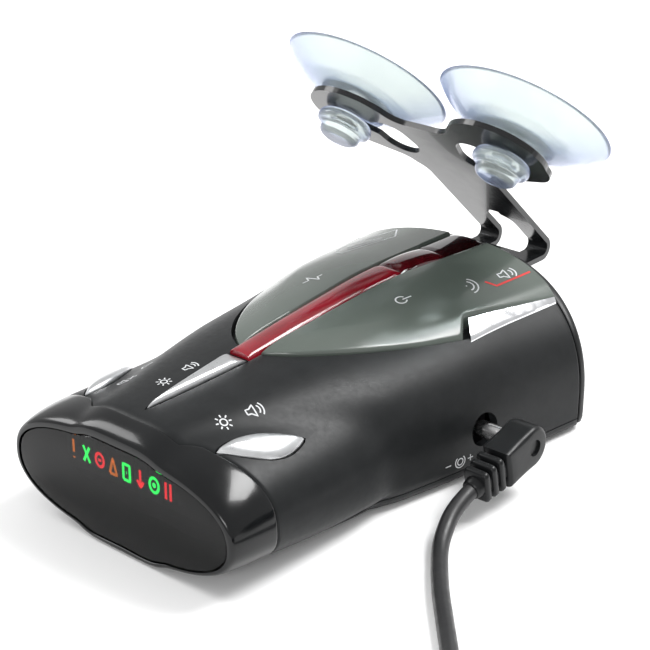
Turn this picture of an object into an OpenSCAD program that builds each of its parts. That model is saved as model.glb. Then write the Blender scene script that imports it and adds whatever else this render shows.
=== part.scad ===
// Car radar and laser detector with a windscreen bracket and a 12 V power lead.
// Millimetres. +Z is up, the display faces -Y, and the power inlet is on the +X side.
// The origin is on the flat base, midway along it.

/* [Body] */
// Length of the body along its sides, from the display face to the rear edge
body_len = 98; // [96:1:100]
// Half width of the body at the display end
front_half_w = 29.3; // [28.8:0.1:29.8]
// Half width of the body at the rear edge
rear_half_w = 36.8; // [36:0.1:37.4]
// Height of the top just behind the display end
front_h = 26.1; // [25.6:0.1:26.6]
// Greatest height of the body
body_h = 32; // [31.5:0.1:32.5]
// How far the middle of the rear edge stands behind its corners
rear_bow = 10; // [9:0.5:11]
// Depth of the glossy bezel around the display
bezel_len = 11; // [10:0.5:12]
// Thickness of the housing walls
wall = 1.8; // [1.5:0.1:2]
// Height of the parting line between the two housings
split_z = 3; // [2.8:0.1:3.2]

/* [Lens] */
// Where the lens recess starts, measured from the display face
lens_start = 35; // [34:0.5:36]
// Where the lens is widest and the silver trims begin
lens_shoulder = 73; // [72:0.5:74]
// Half width of the lens at its shoulder
lens_half_w = 25.2; // [24.8:0.1:25.6]
// Depth of the recess that the lens lies in
recess = 1.8; // [1.6:0.1:2]
// Height of the red light strip above the lens
strip_rise = 0.6; // [0.4:0.1:1]

/* [Buttons] */
// Travel of the three push buttons
button_travel = 0.6; // [0.4:0.1:0.8]
// Gap between a button and its opening
button_gap = 0.3; // [0.25:0.05:0.35]
// Where the pointed end of the select button is, from the display face
select_tip = 8.2; // [8:0.1:9]
// Where the select button ends and the light strip begins
select_end = 32.2; // [32:0.1:32.6]

/* [Bracket] */
// Thickness of the bracket's metal strip
strip_t = 1.2; // [1:0.1:1.3]
// Width of the bracket's stem
stem_w = 18.4; // [17:0.2:18.8]
// Lean of the bracket's plate from the horizontal
plate_lean = 42.6; // [42:0.1:43]
// Distance of each suction cup from the middle
cup_x = 20.3; // [20.2:0.1:21]
// Distance of the cups up the plate
cup_v = 46.5; // [45.5:0.5:47]
// Radius of a suction cup's rim
cup_r = 18.6; // [17:0.1:18.7]

/* [Power lead] */
// Height of the power inlet's axis
jack_z = 10.1; // [9.8:0.1:10.4]
// Distance of the power inlet behind the display face
jack_s = 67.8; // [67:0.1:68.4]
// Diameter of the cord
cord_d = 3.2; // [3:0.1:3.4]
// Droop of the angled plug's tail
plug_tilt = 12; // [8:1:14]
// Radius of the coil at the middle of its turns
coil_r = 19; // [18:0.5:20]

/* [Hidden] */

front_y = -52;            // the display face
seam = 0.1;               // gap between neighbouring shells
cover_len = 2.4;          // depth of the rear cover at its rim
shell_end = body_len - cover_len;
nose_len = 9;             // how far back the display end's rounding reaches
jack_y = front_y + jack_s;
channel = 0.12;           // gap beside the light strip

// ---- The body's shape: a wide tongue that runs back into the body, with a lower pod on
// each side of it at the display end. Each section is drawn round a centre (0, mid_z).

function soft(s, pts, reach) = let (n = 4, all = [for (k = [-n:n]) lookup(s + reach * k / n, pts)])
    (all * [for (v = all) 1]) / len(all);
function nose(s) = let (u = max(0, nose_len - s) / nose_len) 1 - sqrt(max(0, 1 - u * u));
function top_h(s) = soft(s, [[0, front_h], [32, front_h + 2.3], [72, body_h], [body_len, body_h - 1.4]], 7)
    - 3.1 * nose(s);
function base_h(s) = 0.6 * nose(s);
function mid_z(s) = soft(s, [[0, 12], [11, 11], [60, 9], [body_len, 7.5]], 6);
function tongue_w(s) = soft(s, [[0, 13], [11, 14.5], [45, 28.6], [60, 31.4], [body_len, rear_half_w]], 3);
function pod_w(s) = max(8, front_half_w - nose(s) - 2.6 * pow(max(0, s - 32) / 14, 3));
function pod_drop(s) = soft(s, [[0, 1], [11, 1.2], [42, 3.5], [60, 9]], 4);
function top_n(s) = soft(s, [[0, 4], [11, 4], [45, 2.5], [60, 2.3], [body_len, 2.5]], 4);
function base_n(s) = soft(s, [[0, 5], [11, 5], [30, 6], [60, 9]], 4);
function pod_base_n(s) = soft(s, [[0, 2.3], [11, 2.5], [60, 6]], 4);
pod_n = 2.4;
pod_lift = 0.8;

// One station's measures, worked out once and used for all its points
function station(s) = [s, mid_z(s), tongue_w(s), top_h(s) - mid_z(s), mid_z(s) - base_h(s), top_n(s),
    base_n(s),
    pod_w(s), top_h(s) - pod_drop(s) - mid_z(s), mid_z(s) - base_h(s) - pod_lift, pod_base_n(s)];
function lobe_r(a, w, h, n) = pow(pow(abs(cos(a)) / w, n) + pow(abs(sin(a)) / h, n), -1 / n);
function merge(p, q) = pow(pow(p, 30) + pow(q, 30), 1 / 30);
function section_r(st, a) = sin(a) >= 0
    ? merge(lobe_r(a, st[2], st[3], st[5]), lobe_r(a, st[7], st[8], pod_n))
    : merge(lobe_r(a, st[2], st[4], st[6]), lobe_r(a, st[7], st[9], st[10]));
function section_point(st, a, inset = 0) =
    let (r = section_r(st, a) - inset) [r * cos(a), st[1] + r * sin(a)];
function lobe_h(x, w, h, n) = abs(x) >= w ? 0 : h * pow(1 - pow(abs(x) / w, n), 1 / n);
function top_z(st, x) = st[1] + max(lobe_h(x, st[2], st[3], st[5]), lobe_h(x, st[7], st[8], pod_n));
base_flat = 0.3;          // how much of the belly's curve is flattened to make the base
function base_z(st, x) = max(0, st[1] - base_flat
    - max(lobe_h(x, st[2], st[4], st[6]), lobe_h(x, st[7], st[9], st[10])));
function lobe_x(dz, w, h, n) = w * pow(1 - pow(min(1, abs(dz) / h), n), 1 / n);
function split_x(st) = max(lobe_x(st[1] - split_z, st[2], st[4], st[6]),
    lobe_x(st[1] - split_z, st[7], st[9], st[10]));
function bow(s) = rear_bow * pow(max(0, s - 50) / (body_len - 50), 2);
function place(x, s, z) = [x, s + front_y + bow(s) * (1 - pow(x / rear_half_w, 2)), z];
function top_at(x, s) = top_z(station(s), x);

// ---- Outlines on the top: the light strip, the lens and the silver trims

function strip_w(s) = soft(s, [[select_end, 2.35], [52, 2.9], [75, 3.5], [body_len, 4.6]], 3);
function lens_w(s) = lens_half_w * pow(max(0, min(1, (s - lens_start) / (lens_shoulder - lens_start))), 0.48)
    + 2.2 * max(0, s - lens_shoulder) / (body_len - lens_shoulder);
function recess_w(s) = max(strip_w(s) + 0.3, lens_w(s));
function trim_in(s) = lens_half_w - 3.8 + 5.6 * (s - lens_shoulder) / (body_len - lens_shoulder);
function lens_edge(s) = (s < lens_shoulder + 1 ? lens_w(s) : min(lens_w(s), trim_in(s))) - 0.3;
function lens_crown(s, x) = 0.3 + 0.8 * (1 - pow(1 - min(1, max(0, lens_w(s) - abs(x)) / 5), 2));

// ---- Solids from grids of points

function mean_gap(n) = [for (i = [0:n]) i / n];
function flat_list(g) = [for (row = g) for (p = row) p];
// A closed slab between two grids of points of the same size
module slab(upper, under) {
    m = len(upper);
    n = len(upper[0]);
    k = m * n;
    polyhedron(points = concat(flat_list(upper), flat_list(under)), convexity = 8, faces = concat(
        [for (i = [0:m - 2]) for (j = [0:n - 2]) each
            [[i * n + j, i * n + j + 1, (i + 1) * n + j + 1],
                [i * n + j, (i + 1) * n + j + 1, (i + 1) * n + j]]],
        [for (i = [0:m - 2]) for (j = [0:n - 2]) each
            [[k + i * n + j, k + (i + 1) * n + j + 1, k + i * n + j + 1],
             [k + i * n + j, k + (i + 1) * n + j, k + (i + 1) * n + j + 1]]],
        [for (j = [0:n - 2]) each [[j, k + j, k + j + 1], [j, k + j + 1, j + 1]]],
        [for (j = [0:n - 2]) let (e = (m - 1) * n) each
            [[e + j, e + j + 1, k + e + j + 1], [e + j, k + e + j + 1, k + e + j]]],
        [for (i = [0:m - 2]) let (a = i * n, b = a + n) each [[a, b, k + b], [a, k + b, k + a]]],
        [for (i = [0:m - 2]) let (a = i * n + n - 1, b = a + n) each [[a, k + b, b], [a, k + a, k + b]]]));
}
// A closed skin over rings of points, capped at both ends
module skin(rings) {
    m = len(rings);
    n = len(rings[0]);
    polyhedron(points = flat_list(rings), convexity = 6, faces = concat(
        [for (i = [0:m - 2]) for (j = [0:n - 1]) let (a = i * n + j, b = i * n + (j + 1) % n) each
            [[a, b, b + n], [a, b + n, a + n]]],
        [[for (j = [n - 1:-1:0]) j]],
        [[for (j = [0:n - 1]) (m - 1) * n + j]]));
}

// ---- Housings

housing_stations = [bezel_len + seam, 14, 17, 21, 25, 29, select_end - 0.1, select_end, lens_start + 0.6,
    38, 41, 45,
                    49, 54, 59, 64, 69, lens_shoulder, 79, 85, 90, shell_end];
floor_cols = 3;
side_cols = 9;
roof_t = 3;               // roof thickness, measured from the body's own surface

function edge_angle(st, x) = atan2(top_z(st, x) - st[1], x);
function shell_half(s, inner) = let (st = station(s), e = recess_w(s), depth = s >= select_end ? recess : 0,
        a0 = edge_angle(st, e), xs = split_x(st), a1 = atan2(split_z - st[1], xs)) concat(
    [for (j = [0:floor_cols]) let (x = e * j / floor_cols)
        [x, top_z(st, x) - (inner ? roof_t : depth)]],
    [for (j = [0:side_cols]) let (f = j / side_cols, a = a0 + (a1 - a0) * f + (j == 0 ? -0.05 : 0),
            thick = wall + (roof_t - wall) * pow(1 - f, 3), p = section_point(st, a, inner ? thick : 0))
        j == side_cols ? [xs - (inner ? wall : 0), split_z] : p]);
function shell_row(s, inner) = let (h = shell_half(s, inner), n = len(h)) concat(
    [for (j = [n - 1:-1:1]) place(h[j][0], s, h[j][1])],
    [for (j = [0:n - 1]) place(-h[j][0], s, h[j][1])]);

base_cols = [1, 0.995, 0.98, 0.95, 0.88, 0.7, 0.35, 0];
function tray_half(s, inner) = let (st = station(s), xs = split_x(st)) [for (k = base_cols)
    inner ? [k * (xs - wall), k == 1 ? split_z : min(split_z - 0.4 * (1 - k), base_z(st, k * xs) + wall)]
          : [k * xs, k == 1 ? split_z : min(split_z - 0.1, base_z(st, k * xs))]];
function tray_row(s, inner) = let (h = tray_half(s, inner), n = len(h)) concat(
    [for (j = [0:n - 1]) place(-h[j][0], s, h[j][1])],
    [for (j = [n - 2:-1:0]) place(h[j][0], s, h[j][1])]);

boss_spots = [[17, front_y + 30], [-17, front_y + 30], [28.5, front_y + 84], [-28.5, front_y + 84]];
boss_r = 2.7;
function boss_top(p) = top_at(abs(p[0]) + boss_r, p[1] - front_y - 2) - 0.8;
module at_bosses() {
    for (p = boss_spots) translate([p[0], p[1], 0]) children();
}

module upper_housing() color([0.09, 0.09, 0.10]) difference() {
    union() {
        slab([for (s = housing_stations) shell_row(s, false)],
            [for (s = housing_stations) shell_row(s, true)]);
        for (p = boss_spots) translate([p[0], p[1], split_z + 0.3])
            cylinder(h = boss_top(p) - split_z - 0.3, r = boss_r, $fn = 12);
    }
    at_bosses() translate([0, 0, split_z]) cylinder(h = 12, r = 1.15, $fn = 24);
    translate([wall + 20, jack_y, jack_z]) rotate([0, 90, 0]) cylinder(h = 30, r = 3.5, $fn = 48);
    button_hole(select_outline(button_gap));
    button_hole(side_outline(1, button_gap));
    button_hole(side_outline(-1, button_gap));
}
module lower_housing() color([0.09, 0.09, 0.10]) difference() {
    tray = [for (s = housing_stations) if (s != select_end) s];
    slab([for (s = tray) tray_row(s, false)], [for (s = tray) tray_row(s, true)]);
    at_bosses() translate([0, 0, -1]) cylinder(h = 5, r = 1.4, $fn = 24);
    at_bosses() translate([0, 0, -1]) cylinder(h = 2, r = 2.6, $fn = 32);
    for (k = [-3:3]) translate([k * 3, front_y + 47, 0]) cube([1.2, 14, 6], center = true);
}

// Ring of the rear cover at station s, drawn in by a fraction
cover_sides = 64;
function cover_ring(s, k) = let (st = station(s)) [for (j = [0:cover_sides - 1])
    let (p = section_point(st, 360 * j / cover_sides), z = max(0, p[1]))
        place(p[0] * k, s, st[1] + 3 + (z - st[1] - 3) * k)];
module rear_cover() color([0.05, 0.05, 0.055]) difference() {
    steps = [0.1, 0.35, 0.6, 0.8, 0.92];
    skin(concat([for (k = steps) cover_ring(shell_end + seam, k)],
        [cover_ring(shell_end + seam, 1), cover_ring(body_len - 0.9, 0.998),
            cover_ring(body_len - 0.3, 0.985),
         cover_ring(body_len, 0.95)],
        [for (k = [0.8, 0.6, 0.35, 0.1]) cover_ring(body_len, k)]));
    translate([0, front_y + body_len + rear_bow - 2, tongue_z + strip_t / 2])
        cube([stem_w + 0.6, 12, strip_t + 0.6], center = true);
}

// ---- Display end

bezel_sides = 80;
bezel_lip = 1.1;          // width of the lip in front of the window
bezel_path = [[bezel_len, 0], [9, 0], [6.5, 0], [4, 0], [2.2, 0], [1, 0], [0.3, 0], [0, 0.35],
    [0, bezel_lip],
              [1.8, bezel_lip], [1.8, 2.5], [bezel_len, 2.5]];
module bezel_ring() {
    m = len(bezel_path);
    n = bezel_sides;
    pts = [for (q = bezel_path) let (st = station(q[0])) for (j = [0:n - 1])
        let (p = section_point(st, 360 * j / n, q[1])) place(p[0], q[0], max(0, p[1]))];
    polyhedron(points = pts, convexity = 6, faces = [for (i = [0:m - 1]) for (j = [0:n - 1])
        let (a = i * n + j, b = i * n + (j + 1) % n, c = ((i + 1) % m) * n + j,
            d = ((i + 1) % m) * n + (j + 1) % n)
        each [[a, d, b], [a, c, d]]]);
}
module front_bezel() color([0.03, 0.03, 0.035]) difference() {
    bezel_ring();
    button_hole(select_outline(button_gap));
    button_hole(side_outline(1, button_gap));
    button_hole(side_outline(-1, button_gap));
}
module display_window() color([0.04, 0.04, 0.045, 0.8]) {
    st = station(0);
    translate([0, front_y + 1.75, 0]) rotate([90, 0, 0]) linear_extrude(1.6)
        polygon([for (j = [0:bezel_sides - 1]) section_point(st, 360 * j / bezel_sides, bezel_lip + 0.08)]);
}
led_count = 8;
led_pitch = 3.55;
led_z = 17.9;
module at_leds() {
    for (k = [0:led_count - 1]) translate([(k - (led_count - 1) / 2) * led_pitch, 0, led_z]) children();
}
module led_shield() color([0.06, 0.06, 0.06]) translate([0, front_y, 0]) difference() {
    translate([0, 3.9, led_z]) cube([29.4, 3.6, 5.6], center = true);
    at_leds() translate([0, 3.9, 0]) cube([2.9, 5, 4.2], center = true);
}
module indicator_leds() color([0.9, 0.6, 0.3]) translate([0, front_y, 0]) at_leds()
    translate([0, 5.05, 0]) cube([1.6, 1.1, 1.6], center = true);
module display_board() color([0.1, 0.35, 0.16]) translate([0, front_y + 6.4, 15.2])
    cube([35, 1.2, 9.6], center = true);

// ---- Lens, light strip and trims on the top

function lens_row(s, side, under) =
    let (st = station(s), a = strip_w(s) + channel, b = lens_edge(s)) [for (f = mean_gap(6))
    let (x = a + (b - a) * f) place(side * x, s, top_z(st, x) + (under ? 0.06 - recess : lens_crown(s, x)))];
lens_stations = [lens_start + 0.7, 37, 39, 42, 46, 51, 57, 63, 68, lens_shoulder + 0.9,
    lens_shoulder + 1.1, 80, 86, 92,
                 shell_end];
module top_lens(side) color([0.42, 0.46, 0.42, 0.85]) mirror([side > 0 ? 0 : 1, 0, 0])
    slab([for (s = lens_stations) reversed(lens_row(s, 1, false))],
        [for (s = lens_stations) reversed(lens_row(s, 1, true))]);
function reversed(v) = [for (i = [len(v) - 1:-1:0]) v[i]];
module left_top_lens() top_lens(-1);
module right_top_lens() top_lens(1);

trim_stations = [lens_shoulder + 1.3, 80, 86, 90, 93];
function trim_row(s, under) = let (st = station(s), a = trim_in(s) + 0.05,
    b = lens_w(s) - 0.05) [for (f = mean_gap(3))
    let (x = a + (b - a) * f) place(x, s, top_z(st, x) + (under ? 0.1 - recess : 0.35))];
module top_trim(side) color([0.82, 0.83, 0.85]) mirror([side > 0 ? 0 : 1, 0, 0])
    slab([for (s = trim_stations) reversed(trim_row(s, false))],
        [for (s = trim_stations) reversed(trim_row(s, true))]);
module left_trim() top_trim(-1);
module right_trim() top_trim(1);

// A length of the rounded strip between two stations, with an extra rise in its middle
function strip_row(s, swell, under) = let (st = station(s), w = strip_w(s)) [for (f = mean_gap(8))
    let (x = w * (1 - 2 * f)) place(x, s, top_z(st, x) + (under ? 0.06 - recess
        : 0.5 + (0.6 + strip_rise + swell) * sqrt(max(0, 1 - pow(x / (w + 0.15), 2))))) ];
module strip_piece(s0, s1, steps, swell) {
    rows = [for (f = mean_gap(steps)) s0 + (s1 - s0) * f];
    slab([for (s = rows) strip_row(s, swell * sin(180 * (s - s0) / (s1 - s0)), false)],
         [for (s = rows) strip_row(s, 0, true)]);
}
eye_start = 74.6;
eye_end = 86;
module light_strip() color([0.75, 0.05, 0.07, 0.85]) strip_piece(select_end + 0.15, eye_start - 0.05, 12, 0);
module laser_eye() color([0.45, 0.03, 0.04, 0.9]) strip_piece(eye_start + 0.05, eye_end - 0.05, 6, 0.9);
module strip_tail() color([0.25, 0.02, 0.03, 0.9]) strip_piece(eye_end + 0.05, shell_end, 4, 0);

// ---- Buttons

// Half width of the pointed select button, by the distance from its tip
function select_half(t) = 2.35 * pow(t, 0.75);
function select_outline(grow) =
    let (l = select_end - 0.35 - select_tip, right = [for (f = [0.02, 0.08, 0.2, 0.4, 0.7, 1])
    [select_half(f) + grow, select_tip + l * f + (f == 1 ? grow * 0.5 : 0)]]) concat(
    [[0, select_tip - grow * 2]], right, [for (i = [len(right) - 1:-1:0]) [-right[i][0], right[i][1]]]);
// Almond shaped side button: its two tips and its fuller outer side
side_tip_a = [17.2, 8.4];
side_tip_b = [22.6, 25.3];
function side_outline(side, grow) =
    let (d = side_tip_b - side_tip_a, l = norm(d), u = d / l, v = [u[1], -u[0]], n = 9) concat(
    [for (i = [0:n - 1]) let (f = i / n) almond_point(side, f, 1, grow, u, v, l)],
    [for (i = [0:n - 1]) let (f = 1 - i / n) almond_point(side, f, -1, grow, u, v, l)]);
function almond_point(side, f, face, grow, u, v, l) = let (
    across = face > 0 ? 3.1 * pow(sin(180 * pow(f, 1.15)), 0.9) : 2.1 * pow(sin(180 * pow(f, 0.8)), 0.9),
    p = side_tip_a + u * (l * f + grow * (f - 0.5) * 2) + v * face * (across + grow * min(1,
        4 * f * (1 - f) + 0.3)))
    [side * p[0], p[1]];
module button_hole(outline) translate([0, front_y, 18]) linear_extrude(14)
    polygon(outline);
// A button cap: its outline carried up through the roof and domed above it
function centroid(o) = [for (p = o) 1] * o / len(o);
module button_cap(outline, rise) {
    c = centroid(outline);
    o = clockwise(outline);
    function ring(k, up) = [for (p = o)
        let (q = c + (p - c) * k) [q[0], q[1] + front_y, top_at(q[0], q[1]) + up]];
    skin([[for (p = o) [p[0], p[1] + front_y, top_at(c[0], c[1]) - roof_t - 0.7]],
          ring(1, 0.1), ring(0.9, 0.7 * rise), ring(0.7, rise), ring(0.3, 1.1 * rise)]);
}
function signed_area(o) = let (n = len(o))
    [for (i = [0:n - 1]) o[i][0] * o[(i + 1) % n][1] - o[(i + 1) % n][0] * o[i][1]]
    * [for (i = [0:n - 1]) 1];
function clockwise(o) = signed_area(o) > 0 ? reversed(o) : o;
board_z = 14;
board_t = 1.2;
// Plunger tops under the middle key's stem, and under the flat side keys
switch_h = 3.6;
side_switch_h = 3.2;
// Stem from under the middle key down to its switch
module button_stem(p, top) {
    bottom = board_z + board_t + switch_h + button_travel + 0.1;
    translate([p[0], p[1] + front_y, bottom]) cylinder(h = top - bottom, r = 1.4, $fn = 24);
}
select_stem = [0, 27];
side_stem = [20.4, 17];
module select_button() color([0.8, 0.81, 0.83]) {
    button_cap(select_outline(0), 1.2);
    button_stem(select_stem, top_at(0, 20) - roof_t - 0.4);
    translate([-3.6, front_y + 24.5, top_at(0, 20) - roof_t - 1.1]) cube([7.2, 5, 0.95]);
}
module side_button(side) color([0.8, 0.81, 0.83]) {
    button_cap(side_outline(side, 0), 1.2);
    translate([side * 16.8, front_y + 17, top_at(17.4, 17) - roof_t - 1]) cube([3.8, 3, 1], center = true);
}
module left_button() side_button(-1);
module right_button() side_button(1);
module tact_switches() color([0.15, 0.15, 0.16])
    for (p = [select_stem, side_stem, [-side_stem[0], side_stem[1]]])
        translate([p[0], p[1] + front_y, board_z + board_t]) {
            translate([0, 0, 1.25]) cube([4.5, 4.5, 2.5], center = true);
            cylinder(h = (p == select_stem ? switch_h : side_switch_h) - 0.1, r = 1.1, $fn = 24);
        }

// ---- Inside

module main_board() color([0.1, 0.35, 0.16]) difference() {
    translate([-22.4, front_y + 13.5, board_z]) cube([44.8, 78, board_t]);
    at_bosses() translate([0, 0, board_z - 1]) cylinder(h = 4, r = 3.1, $fn = 32);
}
horn_s = [60, 92];
module horn_antenna() color([0.7, 0.71, 0.73]) translate([0, front_y, 0]) difference() {
    translate([-15, horn_s[0], board_z + board_t]) cube([30, horn_s[1] - horn_s[0], 7.6]);
    translate([0, horn_s[1] + 0.01, board_z + board_t + 3.8]) rotate([90, 0, 0])
        linear_extrude(24, scale = [0.4, 0.4]) square([26, 5.6], center = true);
}
module laser_receiver() color([0.1, 0.1, 0.12]) translate([0, front_y + 54, board_z + board_t]) {
    translate([-3, -3, 0]) cube([6, 6, 5]);
    translate([0, 0, 5]) cylinder(h = 1.8, r = 1.8, $fn = 32);
}
module strip_leds() color([0.9, 0.3, 0.3])
    for (s = [38, 43, 48]) translate([-1, front_y + s - 1, board_z + board_t]) cube([2, 2, 1.2]);
module speaker() color([0.2, 0.2, 0.21]) translate([0, front_y + 47, wall + 0.1]) {
    difference() {
        cylinder(h = 5, r = 13.5, $fn = 64);
        translate([0, 0, -1]) cylinder(h = 2, r = 12.3, $fn = 64);
    }
    translate([0, 0, 5]) cylinder(h = 4, r = 6, $fn = 48);
}
jack_face = 29.2;
barrel_r = 1.75;
pin_r = 0.6;
module dc_jack() color([0.07, 0.07, 0.08]) difference() {
    translate([jack_face - 11.6, jack_y - 4.5, jack_z - 5]) cube([11.6, 9, board_z - jack_z + 4.9]);
    translate([jack_face - 10, jack_y, jack_z]) rotate([0, 90, 0])
        cylinder(h = 12, r = barrel_r + 0.1, $fn = 48);
}
module jack_pin() color([0.75, 0.76, 0.78]) translate([jack_face - 11, jack_y, jack_z]) rotate([0, 90, 0])
    cylinder(h = 9, r = pin_r, $fn = 32);
module housing_screws() color([0.6, 0.6, 0.62]) at_bosses() translate([0, 0, 0.3]) {
    cylinder(h = 0.65, r = 2.3, $fn = 32);
    cylinder(h = 10.5, r = 1.05, $fn = 24);
}

// ---- Bracket

plate_at = [0, 70.8, 28];             // a point on the middle of the plate
bend_r = 1.6;                         // inside radius of the bend
bend_at = [68.9, 26.8];               // centre of the bend, as Y and Z
tongue_z = bend_at[1] - bend_r - strip_t;
tongue_in = 36;                       // Y of the tongue's inner end
plate_foot = 0.3;                     // where the plate leaves the bend
slot_in = [10.4, 41];                 // middle of a keyhole's wide part
neck_r = 2.4;
module on_plate() translate(plate_at) rotate([-plate_lean, 0, 0]) children();
module plate_outline() offset(r = -5, $fn = 96) offset(r = 5, $fn = 96) {
    translate([-stem_w / 2, plate_foot]) square([stem_w, 34]);
    translate([-11, 30]) square([22, 19]);
    for (k = [-1, 1]) {
        translate([k * 18, 46.6]) circle(r = 11, $fn = 56);
        hull() {
            translate([k * 8, 34]) circle(r = 3, $fn = 24);
            translate([k * 22, 42.5]) circle(r = 6.4, $fn = 32);
        }
    }
}
module keyhole(k) {
    d = [cup_x, cup_v] - slot_in;
    hull() {
        translate([k * slot_in[0], slot_in[1] - 1.6]) circle(r = 4.6, $fn = 40);
        translate([k * (slot_in[0] + 0.8), slot_in[1] + 1.6]) circle(r = 4.6, $fn = 40);
    }
    translate([k * cup_x, cup_v]) circle(r = neck_r + 0.3, $fn = 40);
    polygon([for (t = [[0, -1], [1, -1], [1, 1], [0, 1]])
        let (p = slot_in + d * t[0] + t[1] * (neck_r + 0.3) * [-d[1], d[0]] / norm(d))
        [k * p[0], p[1]]]);
}
module bend_window() {
    translate([-4, -5]) square([8, 12]);
    translate([-4, 5]) square([8, 2]);
    translate([-1.6, 5]) square([3.2, 7]);
    translate([0, 7]) circle(r = 4, $fn = 32);
}
module bracket() color([0.05, 0.05, 0.055]) difference() {
    union() {
        on_plate() translate([0, 0, -strip_t / 2]) linear_extrude(strip_t) mirror([0, 1]) difference() {
            plate_outline();
            for (k = [-1, 1]) keyhole(k);
        }
        translate([-stem_w / 2, 0, 0]) rotate([90, 0, 90]) linear_extrude(stem_w) polygon(concat(
            [for (a = [-90:8.6:48]) bend_at + (bend_r + strip_t) * [cos(a), sin(a)]],
            [for (a = [47.4:-8.6:-90]) bend_at + bend_r * [cos(a), sin(a)]]));
        translate([-stem_w / 2, tongue_in, tongue_z]) cube([stem_w, bend_at[0] - tongue_in + 0.2, strip_t]);
    }
    on_plate() translate([0, 0, -4.5]) linear_extrude(9) mirror([0, 1]) bend_window();
}
module bracket_sleeve() color([0.12, 0.12, 0.13]) difference() {
    translate([-stem_w / 2 - 1.8, tongue_in - 2, tongue_z - 0.9]) cube([stem_w + 3.6, 14, strip_t + 1.9]);
    translate([-stem_w / 2 - 0.2, tongue_in - 0.6, tongue_z - 0.15]) cube([stem_w + 0.4, 30, strip_t + 0.3]);
}
// One-piece soft cup: a mushroom head under the plate, a neck, a flange and the bell
module cup(side) color([0.75, 0.78, 0.92, 0.4]) on_plate() translate([side * cup_x, -cup_v, 0])
    rotate_extrude($fn = 72)
        polygon([[0, -6.4], [3.6, -6.3], [4.5, -5.6], [4.6, -4.2], [5.9, -3.6], [6.2, -2.6],
        [5.7, -1.4], [4.6, -0.9], [neck_r, -0.9], [neck_r, 0.9], [7.2, 0.9], [7.6, 1.7], [9, 2.3],
            [12.4, 3.9],
        [15.8, 6], [cup_r, 8.2], [cup_r, 8.5], [cup_r - 0.9, 8.5], [15.2, 6.7], [11.6, 4.9], [8, 3.8],
            [0, 3.4]]);
module left_cup() cup(-1);
module right_cup() cup(1);

// ---- Angled plug on the lead, partly pushed into the inlet

plug_x = 38;                          // face of the plug's shell towards the body
plug_w = 6.4;                         // how thick the shell is, along the barrel
barrel_tip = plug_x - 11;
plug_half = 4.3;
boot_start = 8.5;                     // distances from the barrel's axis along the tail
boot_end = 15;
module on_plug() translate([0, jack_y, jack_z]) rotate([plug_tilt, 0, 0]) children();
module plug_shell() color([0.07, 0.07, 0.075]) on_plug() difference() {
    union() {
        translate([plug_x, 0, 0]) rotate([0, 90, 0]) cylinder(h = plug_w, r = plug_half, $fn = 48);
        translate([plug_x, -boot_start, -plug_half + 0.2]) cube([plug_w, boot_start, 2 * plug_half - 0.4]);
    }
    translate([plug_x + plug_w - 0.5, 0, 0]) rotate([0, 90, 0]) cylinder(h = 2, r = 1.6, $fn = 32);
}
module plug_barrel() color([0.75, 0.76, 0.78]) on_plug() translate([barrel_tip, 0, 0]) rotate([0, 90, 0])
    difference() {
    cylinder(h = plug_x - barrel_tip, r = barrel_r, $fn = 48);
    translate([0, 0, -1]) cylinder(h = plug_x - barrel_tip, r = barrel_r - 0.4, $fn = 48);
}
module plug_insulator() color([0.1, 0.1, 0.1]) on_plug() translate([barrel_tip + 0.4, 0, 0])
    rotate([0, 90, 0]) difference() {
    cylinder(h = 9.4, r = barrel_r - 0.42, $fn = 48);
    translate([0, 0, -1]) cylinder(h = 9, r = pin_r + 0.1, $fn = 32);
}
module plug_boot() color([0.07, 0.07, 0.075]) on_plug() translate([plug_x + plug_w / 2, 0, 0]) {
    translate([0, -boot_start, 0]) rotate([90, 0, 0]) cylinder(h = boot_end - boot_start, r = 2.3, $fn = 32);
    for (k = [0:2]) translate([0, -boot_start - 1.6 - 2.2 * k, 0])
        cube([5.8 - 0.2 * k, 1.4, 7.4 - 0.4 * k], center = true);
}

// ---- Cord: the lead from the plug, the wound coil and the tail to the adapter

function plug_out(t) = [plug_x + plug_w / 2, jack_y - t * cos(plug_tilt), jack_z - t * sin(plug_tilt)];
rest_z = cord_d / 2;
lead_route = [plug_out(boot_end), [41.2, -1.8, 6.2], [41.3, -4.6, 5.3], [41.7, -7.4, 4.2], [42.6, -10.2, 3],
              [44, -13.2, 2.1], [46, -16.3, rest_z], [48.4, -19.5, rest_z], [51, -22.8, rest_z],
              [54, -26.4, rest_z], [57.4, -30.2, rest_z], [61, -34.2, rest_z], [64.8, -38.4, rest_z],
              [68.8, -43, rest_z], [73, -48, rest_z], [77.4, -53.6, rest_z], [81.6, -59.6, rest_z],
              [85.4, -66, rest_z], [89, -72.8, rest_z], [93, -79.9, rest_z]];
coil_at = [111, -67];
coil_layers = 4;
layer_pitch = 2.9;
coil_lift = 0.7;          // the coil stands on its tie
coil_top = rest_z + coil_lift + (coil_layers - 1) * layer_pitch;
tail_route = [[133.2, -67, coil_top], [133.1, -57, 10.6], [132.5, -48.5, 9.9], [131, -40.5, 9.7],
    [128.6, -33, 10.2],
              [125.4, -26.3, 11.2], [122, -20.1, 11.9], [118.65, -14.26, 12]];
adapter_in = [118.5, -14, 12];
adapter_turn = 119.8;

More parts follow.
